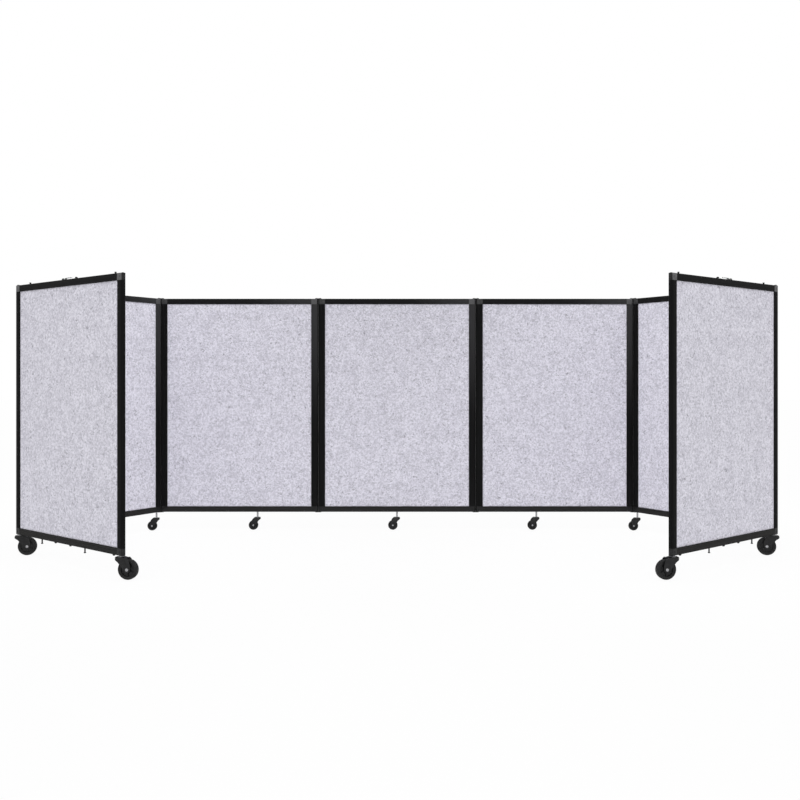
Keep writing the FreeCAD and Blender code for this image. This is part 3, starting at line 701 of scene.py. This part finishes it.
# The end leaves stand on large swivel casters. A black fork housing, whose round nose comes to a
# tip, hangs on a steel stem that turns in the corner block, over a bright washer. A bolt with bright
# domed heads carries the wheel at the back of the two legs.
BIG_STEM_R = 5.5 * MM
BIG_STEM_IN = 19 * MM
BIG_WASHER_R = 11 * MM
BIG_WASHER_T = 1.5 * MM
BIG_NECK = 4 * MM
BIG_W = 24 * MM
BIG_INNER = BIG_W / 2 + 0.8 * MM
BIG_LEG_T = 3 * MM
BIG_OUTER = BIG_INNER + BIG_LEG_T
BIG_CROWN_T = 4 * MM
BIG_BOSS_R = 13 * MM
BIG_BOLT_R = 6.2 * MM
BIG_BOLT_H = 2.2 * MM
BIG_NOSE = 8 * MM
BIG_TIP_DROP = 10.5 * MM
BIG_TIP_LEAN = 3 * MM
BIG_SKIRT = 19 * MM
BIG_CROWN_L = 12 * MM
BIG_SOFT = 1.6 * MM
BOSS_STEPS = 10
BOSS_TURN = (200, 350)
WASHER_RIM = 0.6
WASHER_TOP = 0.93
BIG_CASTERS = ("near_left", "far_left", "far_right", "near_right")
HOUSING_BLACK_DARK = (0.0060, 0.0060, 0.0064)
HOUSING_BLACK_LIGHT = (0.0125, 0.0125, 0.0130)
ZINC_DARK = (0.24, 0.24, 0.25)
ZINC_LIGHT = (0.38, 0.38, 0.39)
ZINC_METAL = 0.55
ZINC_MOTTLES = 400
ZINC_CLOUDS = 900
ZINC_GRAIN = 2000
ZINC_GRAIN_DEEP = 0.01 * MM


def caster_place(name):
    """A caster's own axes: x from its stem towards its axle, and z up from the floor."""
    stem, axle = pivot_at(f"{name}_caster_swivel"), pivot_at(f"{name}_wheel_spin")
    return standing(stem, axle - stem)


def caster_sizes(name):
    """Trail and wheel radius of a caster."""
    stem, axle = pivot_at(f"{name}_caster_swivel"), pivot_at(f"{name}_wheel_spin")
    return math.hypot(axle.x - stem.x, axle.y - stem.y), axle.z


def housing(name, side, nose, inner, outer, crown_top, crown_t, crown_l, soft):
    """Fork housing: its side view and its plan meet in one soft-edged block, which is then hollowed."""
    far = 4 * outer
    body = solid(name, prism(side, -outer, outer, "xzy"))
    plan = slab(-nose - outer, far, outer, outer)
    body = carved(body, solid("plan", prism(plan, 0, 2 * crown_top)), "INTERSECT")
    bm = bmesh.new()
    bm.from_mesh(body)
    softened(bm, soft, 3, 0.7)
    hollow = slab(-nose - inner, far, inner, inner)
    body = carved(as_mesh(name, bm), solid("hollow", prism(hollow, 0, crown_top - crown_t)))
    slot = slab(crown_l, far, inner, inner / 4)
    return carved(body, solid("slot", prism(slot, crown_top / 3, 2 * crown_top)))


def boss_arc(x, z, radius):
    """Round stretch of a housing's side view under the axle."""
    first, last = BOSS_TURN
    angles = [math.radians(first + (last - first) * k / BOSS_STEPS) for k in range(BOSS_STEPS + 1)]
    return [(x + radius * math.cos(a), z + radius * math.sin(a), 0) for a in angles]


def metal(name, dark, light, roughness):
    """Bright zinc-plated steel with the faint mottling of the plating."""
    material = painted(name, light, roughness, metallic=ZINC_METAL)
    clouds = noise(material, ZINC_CLOUDS, 2)
    tinted(material, spread(material, noise(material, ZINC_MOTTLES, 3), span=(0.35, 0.65)), dark, light)
    roughened(material, spread(material, clouds, (roughness - 0.06, roughness + 0.08)))
    grained(material, noise(material, ZINC_GRAIN, 2), ZINC_GRAIN_DEEP, 0.5)
    return material


BIG_TRAIL, BIG_R = caster_sizes("near_left")
BIG_CROWN_TOP = FRAME_LOW - BIG_NECK - BIG_WASHER_T
big_tip = -BIG_NOSE - BIG_OUTER
big_side = [(big_tip + BIG_TIP_LEAN, BIG_CROWN_TOP, 3 * MM),
            (big_tip, BIG_CROWN_TOP - BIG_TIP_DROP, 1.5 * MM),
            (-BIG_NOSE, BIG_CROWN_TOP - BIG_SKIRT, 12 * MM), *boss_arc(BIG_TRAIL, BIG_R, BIG_BOSS_R),
            (BIG_TRAIL + 14 * MM, BIG_R + 15 * MM, 7 * MM),
            (BIG_TRAIL + 6 * MM, BIG_CROWN_TOP - 5.5 * MM, 6 * MM), (BIG_CROWN_L, BIG_CROWN_TOP, 0)]
BIG_HOUSING = housing("big_housing", rounded(big_side), BIG_NOSE, BIG_INNER, BIG_OUTER, BIG_CROWN_TOP,
                      BIG_CROWN_T, BIG_CROWN_L, BIG_SOFT)
stem = [(0, BIG_CROWN_TOP - BIG_CROWN_T), (BIG_STEM_R, BIG_CROWN_TOP - BIG_CROWN_T),
        (BIG_STEM_R, FRAME_LOW + BIG_STEM_IN), (0, FRAME_LOW + BIG_STEM_IN)]
washer = [(BIG_STEM_R, BIG_CROWN_TOP), (BIG_WASHER_R, BIG_CROWN_TOP),
          (BIG_WASHER_R, BIG_CROWN_TOP + BIG_WASHER_T * WASHER_RIM),
          (BIG_WASHER_R * WASHER_TOP, BIG_CROWN_TOP + BIG_WASHER_T),
          (BIG_STEM_R, BIG_CROWN_TOP + BIG_WASHER_T)]
BIG_STEM = solid("big_stem", lathe(stem, (0, 0, 0)), lathe(washer, (0, 0, 0)))
bolt = [(0, 0)] + dome(BIG_BOLT_R, BIG_OUTER, BIG_OUTER + BIG_BOLT_H)
axle_at = (BIG_TRAIL, 0, BIG_R)
BIG_AXLE = solid("big_axle", *both_faces(bolt, axle_at))
HOUSING_BLACK = moulded("black_caster_housing", HOUSING_BLACK_DARK, HOUSING_BLACK_LIGHT, 0.42, specular=0.25)
ZINC = metal("zinc_plated_steel", ZINC_DARK, ZINC_LIGHT, 0.34)
for name in BIG_CASTERS:
    body = f"{name}_caster_fork"
    place = caster_place(name)
    piece(f"{name}_housing", BIG_HOUSING, place, body, HOUSING_BLACK, body)
    piece(f"{name}_stem", BIG_STEM, place, body, ZINC, body)
    piece(f"{name}_axle", BIG_AXLE, place, body, ZINC, body)


# A large wheel is a black rubber tyre moulded round a black plastic core. The core has a rim, a
# thin web with six ribs on each side and a hub that runs on the axle.
TYRE_T = 9 * MM
TYRE_ROUND = 5 * MM
CORE_W = 20 * MM
WEB_T = 7 * MM
RIM_T = 4 * MM
HUB_R = 13 * MM
BORE_R = 4.05 * MM
RIBS = 6
RIB_T = 2.6 * MM
RIB_ROOT = 0.9
RIB_REACH = 0.86
WHEEL_TURNS = 64
TYRE_DARK = (0.0080, 0.0080, 0.0080)
TYRE_LIGHT = (0.0170, 0.0170, 0.0170)


def tyre(radius, width, depth, soft):
    """Outline of a tyre with soft shoulders."""
    half, inner = width / 2, radius - depth
    return rounded([(inner, -half + soft / 3, 0), (radius - soft, -half, soft / 2), (radius, -half, soft),
                    (radius, half, soft), (radius - soft, half, soft / 2), (inner, half - soft / 3, 0)])


def core(radius, width, rim_t, web_t, hub_r, hub_w, bore):
    """Outline of a wheel's core: rim, web and hub."""
    rim, hub, web = width / 2, hub_w / 2, web_t / 2
    inner = radius - rim_t
    side = [(bore, hub, 0), (hub_r, hub, MM), (hub_r + MM, web, MM), (inner - MM, web, MM),
            (inner, rim, MM / 2), (radius, rim, 0)]
    return rounded([(r, -h, c) for r, h, c in side] + side[::-1], 3)


def ribs(at, from_r, to_r, web_t, width, thick):
    """Ribs between hub and rim on both faces of the web."""
    out = []
    plan = slab(from_r, to_r, thick / 2)
    for k in range(RIBS):
        turn = Matrix.Rotation(2 * math.pi * (k + 0.5) / RIBS, 4, "Y")
        for side in (1, -1):
            points, faces = prism(plan, side * web_t / 2 * RIB_ROOT, side * width / 2 * RIB_REACH, "xzy")
            out.append(([Vector(at) + turn @ point for point in points], faces))
    return out


TYRE_RUBBER = moulded("black_tyre_rubber", TYRE_DARK, TYRE_LIGHT, 0.62, specular=0.2)
CORE_BLACK = moulded("black_wheel_core", HOUSING_BLACK_DARK, HOUSING_BLACK_LIGHT, 0.4, specular=0.25)
big_core_r = BIG_R - TYRE_T
big_core = core(big_core_r, CORE_W, RIM_T, WEB_T, HUB_R, BIG_W, BORE_R)
big_ribs = ribs(axle_at, HUB_R - MM, big_core_r - RIM_T + MM, WEB_T, CORE_W, RIB_T)
BIG_TYRE = solid("big_tyre", lathe(tyre(BIG_R, BIG_W, TYRE_T + MM, TYRE_ROUND), axle_at, "y", WHEEL_TURNS))
BIG_CORE = joined("big_core", solid("rim", lathe(big_core, axle_at, "y", WHEEL_TURNS)),
                  solid("ribs", *big_ribs, bevel=0.5 * MM))
for name in BIG_CASTERS:
    body = f"{name}_caster_wheel"
    place = caster_place(name)
    piece(f"{name}_tyre", BIG_TYRE, place, body, TYRE_RUBBER, body)
    piece(f"{name}_core", BIG_CORE, place, body, CORE_BLACK, body)


# The brake pedal is a black moulded tread on a cross pin under the crown. Its broad tip has raised
# bars for the shoe that presses it, and its barrel turns on the pin.
PEDAL_AHEAD = 23 * MM
PEDAL_L = 28 * MM
PEDAL_T = 3 * MM
PEDAL_RISE = 5.2 * MM
PEDAL_HALF = 10 * MM
PEDAL_BARREL_R = 3.5 * MM
PEDAL_CLEAR = 1 * MM
PEDAL_BORE_R = 1.55 * MM
PEDAL_BAR_H = 0.7 * MM
PEDAL_BARS_BACK = (3.0, 6.2, 9.4, 12.6)
pedal_x = BIG_TRAIL - PEDAL_AHEAD
pedal_z = BIG_CROWN_TOP - BIG_CROWN_T - PEDAL_BARREL_R - PEDAL_CLEAR
pedal_end = pedal_x + PEDAL_L
tread = rounded([(pedal_x, pedal_z - PEDAL_T / 2, 0),
                 (pedal_end - 6 * MM, pedal_z + PEDAL_RISE * 0.78, 3 * MM),
                 (pedal_end, pedal_z + PEDAL_RISE * 0.6, 1 * MM),
                 (pedal_end, pedal_z + PEDAL_RISE + PEDAL_T, 2 * MM), (pedal_x, pedal_z + PEDAL_T, 0)])
barrel = [(PEDAL_BORE_R, -PEDAL_HALF - MM), (PEDAL_BARREL_R, -PEDAL_HALF - MM),
          (PEDAL_BARREL_R, PEDAL_HALF + MM), (PEDAL_BORE_R, PEDAL_HALF + MM)]
pedal_parts = [solid("tread", prism(tread, -PEDAL_HALF, PEDAL_HALF, "xzy"), bevel=0.8 * MM),
               solid("barrel", lathe(barrel, (pedal_x, 0, pedal_z), "y"), bevel=0.3 * MM, sharp=1.0)]
for back in PEDAL_BARS_BACK:
    x = pedal_end - back * MM
    z = pedal_z + PEDAL_T + PEDAL_RISE / PEDAL_L * (x - pedal_x)
    bar = rounded([(x - 0.7 * MM, z - 0.4 * MM, 0), (x + 0.7 * MM, z - 0.4 * MM, 0),
                   (x + 0.5 * MM, z + PEDAL_BAR_H, 0.3 * MM), (x - 0.5 * MM, z + PEDAL_BAR_H, 0.3 * MM)], 2)
    pedal_parts.append(solid("bar", prism(bar, -PEDAL_HALF * 0.85, PEDAL_HALF * 0.85, "xzy")))
PEDAL = joined("pedal", *pedal_parts)
PEDAL_BLACK = moulded("black_pedal_moulding", HOUSING_BLACK_DARK, HOUSING_BLACK_LIGHT, 0.5, specular=0.25)
for name in BIG_CASTERS:
    body = f"{name}_brake_pedal"
    piece(f"{name}_pedal", PEDAL, caster_place(name), body, PEDAL_BLACK, body)


# Leaves 2 to 6 each stand on one small swivel caster, of the same make without a brake. Its long
# bright stem is pushed up into a socket in the bottom rail or into a corner block.
SMALL_STEM_R = 4.75 * MM
SMALL_STEM_IN = 16 * MM
SMALL_W = 17 * MM
SMALL_INNER = SMALL_W / 2 + 0.7 * MM
SMALL_OUTER = SMALL_INNER + 2.5 * MM
SMALL_NOSE = 5 * MM
SMALL_CROWN_T = 4 * MM
SMALL_BOSS_R = 8.5 * MM
SMALL_BOLT_R = 4.4 * MM
SMALL_BOLT_H = 1.6 * MM
COLLAR_R = 6.4 * MM
COLLAR_H = 2.2 * MM
COLLAR_RIM = 0.7
SMALL_TIP_DROP = 8.5 * MM
SMALL_TIP_LEAN = 2 * MM
SMALL_SKIRT = 18 * MM
SMALL_CROWN_L = 16 * MM
SMALL_SOFT = 1.2 * MM
SMALL_FORK_CLEAR = 17 * MM
SMALL_TYRE_T = 6 * MM
SMALL_TYRE_ROUND = 4 * MM
SMALL_CORE_W = 14 * MM
SMALL_RIM_T = 2.5 * MM
SMALL_WEB_T = 5 * MM
SMALL_HUB_R = 8 * MM
SMALL_BORE_R = 3.05 * MM
SMALL_RIB_T = 1.8 * MM
SMALL_CASTERS = [f"leaf_{leaf}" for leaf in LEAVES[1:-1]]
SMALL_TRAIL, SMALL_R = caster_sizes("leaf_4")
SMALL_CROWN_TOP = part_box("leaf_4_caster_wheel")[1].z + SMALL_FORK_CLEAR
small_tip = -SMALL_NOSE - SMALL_OUTER
small_side = [(small_tip + SMALL_TIP_LEAN, SMALL_CROWN_TOP, 3 * MM),
              (small_tip, SMALL_CROWN_TOP - SMALL_TIP_DROP, 1.5 * MM),
              (-SMALL_NOSE, SMALL_CROWN_TOP - SMALL_SKIRT, 8 * MM),
              *boss_arc(SMALL_TRAIL, SMALL_R, SMALL_BOSS_R),
              (SMALL_TRAIL + 11 * MM, SMALL_R + 17 * MM, 5 * MM),
              (SMALL_TRAIL + 5 * MM, SMALL_CROWN_TOP - 10 * MM, 6 * MM), (SMALL_CROWN_L, SMALL_CROWN_TOP, 0)]
SMALL_HOUSING = housing("small_housing", rounded(small_side), SMALL_NOSE, SMALL_INNER, SMALL_OUTER,
                        SMALL_CROWN_TOP, SMALL_CROWN_T, SMALL_CROWN_L, SMALL_SOFT)
small_stem = [(0, SMALL_CROWN_TOP - SMALL_CROWN_T), (SMALL_STEM_R, SMALL_CROWN_TOP - SMALL_CROWN_T),
              (SMALL_STEM_R, SMALL_CROWN_TOP), (COLLAR_R, SMALL_CROWN_TOP),
              (COLLAR_R, SMALL_CROWN_TOP + COLLAR_H * COLLAR_RIM), (SMALL_STEM_R, SMALL_CROWN_TOP + COLLAR_H),
              (SMALL_STEM_R, FRAME_LOW + SMALL_STEM_IN), (0, FRAME_LOW + SMALL_STEM_IN)]
SMALL_STEM = solid("small_stem", lathe(small_stem, (0, 0, 0)))
small_bolt = [(0, 0)] + dome(SMALL_BOLT_R, SMALL_OUTER, SMALL_OUTER + SMALL_BOLT_H)
small_axle_at = (SMALL_TRAIL, 0, SMALL_R)
SMALL_AXLE = solid("small_axle", *both_faces(small_bolt, small_axle_at))
small_core_r = SMALL_R - SMALL_TYRE_T
small_tyre = tyre(SMALL_R, SMALL_W, SMALL_TYRE_T + MM, SMALL_TYRE_ROUND)
small_core = core(small_core_r, SMALL_CORE_W, SMALL_RIM_T, SMALL_WEB_T, SMALL_HUB_R, SMALL_W, SMALL_BORE_R)
small_ribs = ribs(small_axle_at, SMALL_HUB_R - MM / 2, small_core_r - SMALL_RIM_T + MM / 2,
                  SMALL_WEB_T, SMALL_CORE_W, SMALL_RIB_T)
SMALL_TYRE = solid("small_tyre", lathe(small_tyre, small_axle_at, "y", WHEEL_TURNS))
SMALL_CORE = joined("small_core", solid("rim", lathe(small_core, small_axle_at, "y", WHEEL_TURNS)),
                    solid("ribs", *small_ribs, bevel=0.4 * MM))
for name in SMALL_CASTERS:
    fork, wheel = f"{name}_caster_fork", f"{name}_caster_wheel"
    place = caster_place(name)
    piece(f"{name}_caster_housing", SMALL_HOUSING, place, fork, HOUSING_BLACK, fork)
    piece(f"{name}_caster_stem", SMALL_STEM, place, fork, ZINC, fork)
    piece(f"{name}_caster_axle", SMALL_AXLE, place, fork, ZINC, fork)
    piece(f"{name}_caster_tyre", SMALL_TYRE, place, wheel, TYRE_RUBBER, wheel)
    piece(f"{name}_caster_core", SMALL_CORE, place, wheel, CORE_BLACK, wheel)


# Black moulded fittings stand on the edges of the two end leaves: two pegs and two strap buttons
# on the top, two long pins with broad feet and three dome bumpers below, and a domed pivot cap in
# each of the free end's hinge bores.
PEG_SHARES = (0.137, 0.928)
BUTTON_SHARES = (0.463, 0.584)
LONG_PIN_SHARES = (0.257, 0.663)
BUMPER_SHARES = (0.391, 0.531, 0.915)
STRAP_T = 1.2 * MM
PEG_R = 3.5 * MM
PEG_NECK = 5 * MM
PEG_HEAD_R = 5 * MM
PEG_H = 8 * MM
BUTTON_R = 3 * MM
BUTTON_HEAD_R = 6 * MM
BUTTON_H = 6.5 * MM
LONG_PIN_R = 3 * MM
LONG_PIN_L = 19 * MM
FOOT_R = 5 * MM
FOOT_H = 3 * MM
FOOT_SOFT = 0.8 * MM
BUMPER_R = 7 * MM
BUMPER_TIP_R = 4 * MM
BUMPER_H = 7 * MM
BUMPER_ROUND = 1.5 * MM
CAP_R = 4.8 * MM
CAP_H = 2.2 * MM
PEG = headed(0, PEG_R, PEG_NECK, PEG_HEAD_R, PEG_H)
BUTTON = headed(0, BUTTON_R, STRAP_T, BUTTON_HEAD_R, STRAP_T + BUTTON_H)
CAP = headed(-PIN_IN, PIN_R, 0, CAP_R, CAP_H)
LONG_PIN = [(0, 0), (LONG_PIN_R, 0), (LONG_PIN_R, -LONG_PIN_L), (FOOT_R, -LONG_PIN_L),
            (FOOT_R, FOOT_SOFT - LONG_PIN_L - FOOT_H), (FOOT_R - FOOT_SOFT, -LONG_PIN_L - FOOT_H),
            (0, -LONG_PIN_L - FOOT_H)]
BUMPER = rounded([(0, 0, 0), (BUMPER_R, 0, 0), (BUMPER_TIP_R, -BUMPER_H, BUMPER_ROUND), (0, -BUMPER_H, 0)])
FITTING_BLACK = moulded("black_fitting", HOUSING_BLACK_DARK, HOUSING_BLACK_LIGHT, 0.48, specular=0.15)


def fittings():
    """All the fittings of leaf 1, whose free end is at x = 0."""
    sets = ((PEG_SHARES, PEG, FRAME_TOP), (BUTTON_SHARES, BUTTON, FRAME_TOP),
            (LONG_PIN_SHARES, LONG_PIN, FRAME_LOW), (BUMPER_SHARES, BUMPER, FRAME_LOW))
    shapes = [lathe(outline, (LEAF_W * (1 - share), 0, z)) for shares, outline, z in sets for share in shares]
    shapes.append(lathe(CAP, (EDGE_R, 0, FRAME_TOP)))
    shapes.append(lathe([(radius, -height) for radius, height in CAP], (EDGE_R, 0, FRAME_LOW)))
    return solid("fittings", *shapes)


LEFT_FITTINGS = fittings()
for leaf, mesh in zip(END_LEAVES, (LEFT_FITTINGS, reflected(LEFT_FITTINGS, 0, LEAF_W / 2))):
    piece(f"leaf_{leaf}_fittings", mesh, LEAF_AT[leaf], f"leaf_{leaf}", FITTING_BLACK,
          f"leaf_{leaf}_edge_fittings")


# A clear soft plastic strap is buttoned on the top of each end leaf. It ties the folded leaves
# together, and bows up a little between its two buttons while it waits.
STRAP_W = 12 * MM
STRAP_BOW = 6.5 * MM
STRAP_TAIL = 9 * MM
STRAP_RAMP = 20 * MM
STRAP_STEPS = 60
STRAP_SOFT = 0.35 * MM
STRAP_TIP_HALF = 0.8 * MM
STRAP_CLEAR = (0.80, 0.82, 0.79)
STRAP_MILKY = (0.88, 0.89, 0.87)
STRAP_ROUGH = 0.3
STRAP_ROUGH_RANGE = (0.2, 0.4)
STRAP_SEE_THROUGH = 0.2
STRAP_DRIFTS = 90
STRAP_CLOUDS = 260


def strap():
    """The strap of leaf 1, ring by ring from end to end."""
    first, last = (LEAF_W * (1 - share) for share in BUTTON_SHARES[::-1])
    low, high = first - STRAP_TAIL, last + STRAP_TAIL
    rings = []
    for k in range(STRAP_STEPS + 1):
        x = low + (high - low) * k / STRAP_STEPS
        inside = min(x - first, last - x)
        rise = min(max((inside - STRAP_TAIL) / STRAP_RAMP, 0), 1)
        z = FRAME_TOP + STRAP_BOW * rise * rise * (3 - 2 * rise)
        end = min(x - low, high - x, STRAP_W / 2)
        half = math.sqrt(max((STRAP_W / 2) ** 2 - (STRAP_W / 2 - end) ** 2, STRAP_TIP_HALF ** 2))
        section = rounded([(-half, z, STRAP_SOFT), (half, z, STRAP_SOFT), (half, z + STRAP_T, STRAP_SOFT),
                           (-half, z + STRAP_T, STRAP_SOFT)], 2)
        rings.append([Vector((x, y, h)) for y, h in section])
    n = len(rings[0])
    faces = [(a * n + i, a * n + (i + 1) % n, (a + 1) * n + (i + 1) % n, (a + 1) * n + i)
             for a in range(STRAP_STEPS) for i in range(n)]
    caps = [tuple(range(n)), tuple(STRAP_STEPS * n + i for i in range(n))]
    return solid("strap", ([point for ring in rings for point in ring], faces + caps))


STRAP_PLASTIC = painted("clear_strap", STRAP_MILKY, STRAP_ROUGH)
surface(STRAP_PLASTIC, "Transmission Weight").default_value = STRAP_SEE_THROUGH
tinted(STRAP_PLASTIC, spread(STRAP_PLASTIC, noise(STRAP_PLASTIC, STRAP_DRIFTS, 3)), STRAP_CLEAR, STRAP_MILKY)
roughened(STRAP_PLASTIC, spread(STRAP_PLASTIC, noise(STRAP_PLASTIC, STRAP_CLOUDS, 3), STRAP_ROUGH_RANGE))
LEFT_STRAP = strap()
for leaf, mesh in zip(END_LEAVES, (LEFT_STRAP, reflected(LEFT_STRAP, 0, LEAF_W / 2))):
    piece(f"leaf_{leaf}_tie_strap", mesh, LEAF_AT[leaf], f"leaf_{leaf}", STRAP_PLASTIC,
          f"leaf_{leaf}_strap")


# The studio: a plain pale floor, a white surround that the camera and glossy surfaces see as white,
# and even soft light. The floor keeps a faint shadow of the casters and the leaves.
FLOOR_SIZE = 60.0
FLOOR_PALE = (0.93, 0.93, 0.93, 1)
FLOOR_GLOW_SHARE = 0.93
WHITE = (1, 1, 1, 1)
SURROUND_LIGHT = 0.92


def seen_white(tree):
    """1 for rays from the camera, a gloss or a clear piece, and 0 for the rays that light the object."""
    path = tree.nodes.new("ShaderNodeLightPath")
    total = path.outputs["Is Camera Ray"]
    for kind in ("Is Glossy Ray", "Is Transmission Ray"):
        node = tree.nodes.new("ShaderNodeMath")
        node.operation = "MAXIMUM"
        tree.links.new(total, node.inputs[0])
        tree.links.new(path.outputs[kind], node.inputs[1])
        total = node.outputs["Value"]
    return total


floor_mesh = bpy.data.meshes.new("floor")
half = FLOOR_SIZE / 2
floor_mesh.from_pydata([(x, y, 0) for x, y in slab(-half, half, half)], [], [(0, 1, 2, 3)])
floor = bpy.data.objects.new("floor", floor_mesh)
bpy.context.scene.collection.objects.link(floor)
floor_white = bpy.data.materials.new("pale_floor")
floor_white.use_nodes = True
tree = floor_white.node_tree
tree.nodes.clear()
matt = tree.nodes.new("ShaderNodeBsdfDiffuse")
matt.inputs["Color"].default_value = FLOOR_PALE
glow = tree.nodes.new("ShaderNodeEmission")
blend = tree.nodes.new("ShaderNodeMixShader")
keep = tree.nodes.new("ShaderNodeMath")
keep.operation = "MULTIPLY"
keep.inputs[1].default_value = FLOOR_GLOW_SHARE
out = tree.nodes.new("ShaderNodeOutputMaterial")
tree.links.new(seen_white(tree), keep.inputs[0])
tree.links.new(keep.outputs["Value"], blend.inputs["Fac"])
tree.links.new(matt.outputs["BSDF"], blend.inputs[1])
tree.links.new(glow.outputs["Emission"], blend.inputs[2])
tree.links.new(blend.outputs["Shader"], out.inputs["Surface"])
floor_mesh.materials.append(floor_white)

world = bpy.data.worlds.new("white_surround")
bpy.context.scene.world = world
world.use_nodes = True
tree = world.node_tree
surround = tree.nodes["Background"]
surround.inputs["Color"].default_value = WHITE
level = tree.nodes.new("ShaderNodeMapRange")
level.inputs["To Min"].default_value = SURROUND_LIGHT
level.inputs["To Max"].default_value = 1.0
tree.links.new(seen_white(tree), level.inputs["Value"])
tree.links.new(level.outputs["Result"], surround.inputs["Strength"])


# Two soft boxes above and two low ones far in front brighten the folds at the ends, where the
# surround reaches less. Each low one faces the fold on the other side. The camera sees none of them.
FOLD_BOX = {"at": (0.95, -0.6, 2.6), "aim": (1.7, 0.6, -0.6), "size": 1.4, "watts": 4.45, "opening": 70}
CROSS_BOX = {"at": (1.4, -4.7, 0.4), "aim": (-1.15, 0.6, 0.2), "size": 1.0, "watts": 2.35, "opening": 40}


def soft_box(name, side, at, aim, size, watts, opening):
    """A square light on one side that faces a point. A grid narrows it to an opening in degrees."""
    at, aim = (Vector(point) * Vector((side, 1, 1)) for point in (at, aim))
    data = bpy.data.lights.new(name, "AREA")
    data.shape, data.size, data.energy = "SQUARE", size, watts
    data.spread = math.radians(opening)
    lamp = bpy.data.objects.new(name, data)
    bpy.context.scene.collection.objects.link(lamp)
    lamp.location = at
    lamp.visible_camera = False
    lamp.rotation_euler = (aim - at).to_track_quat("-Z", "Y").to_euler()


for name, side in (("left", -1), ("right", 1)):
    soft_box(f"{name}_fold_light", side, **FOLD_BOX)
    soft_box(f"{name}_cross_light", side, **CROSS_BOX)


# The camera stands level in front of the middle leaf, as far off and as high as the picture's own
# lines show. Its shift sets the picture's centre and horizon, so that upright edges stay upright.
PICTURE = 800
CAMERA_AT = (0.0, -4.310, 0.807)
FOCAL_PX = 924.6
CENTRE_X_PX = 397
HORIZON_PX = 378
SENSOR = 36.0
CAMERA_REACH = 200
camera_data = bpy.data.cameras.new("camera")
camera_data.sensor_width = SENSOR
camera_data.lens = FOCAL_PX / PICTURE * SENSOR
camera_data.shift_x = (PICTURE / 2 - CENTRE_X_PX) / PICTURE
camera_data.shift_y = (HORIZON_PX - PICTURE / 2) / PICTURE
camera_data.clip_end = CAMERA_REACH
camera = bpy.data.objects.new("camera", camera_data)
bpy.context.scene.collection.objects.link(camera)
camera.location = CAMERA_AT
camera.rotation_euler = (math.pi / 2, 0, 0)
bpy.context.scene.camera = camera
bpy.context.scene.view_settings.view_transform = "Standard"
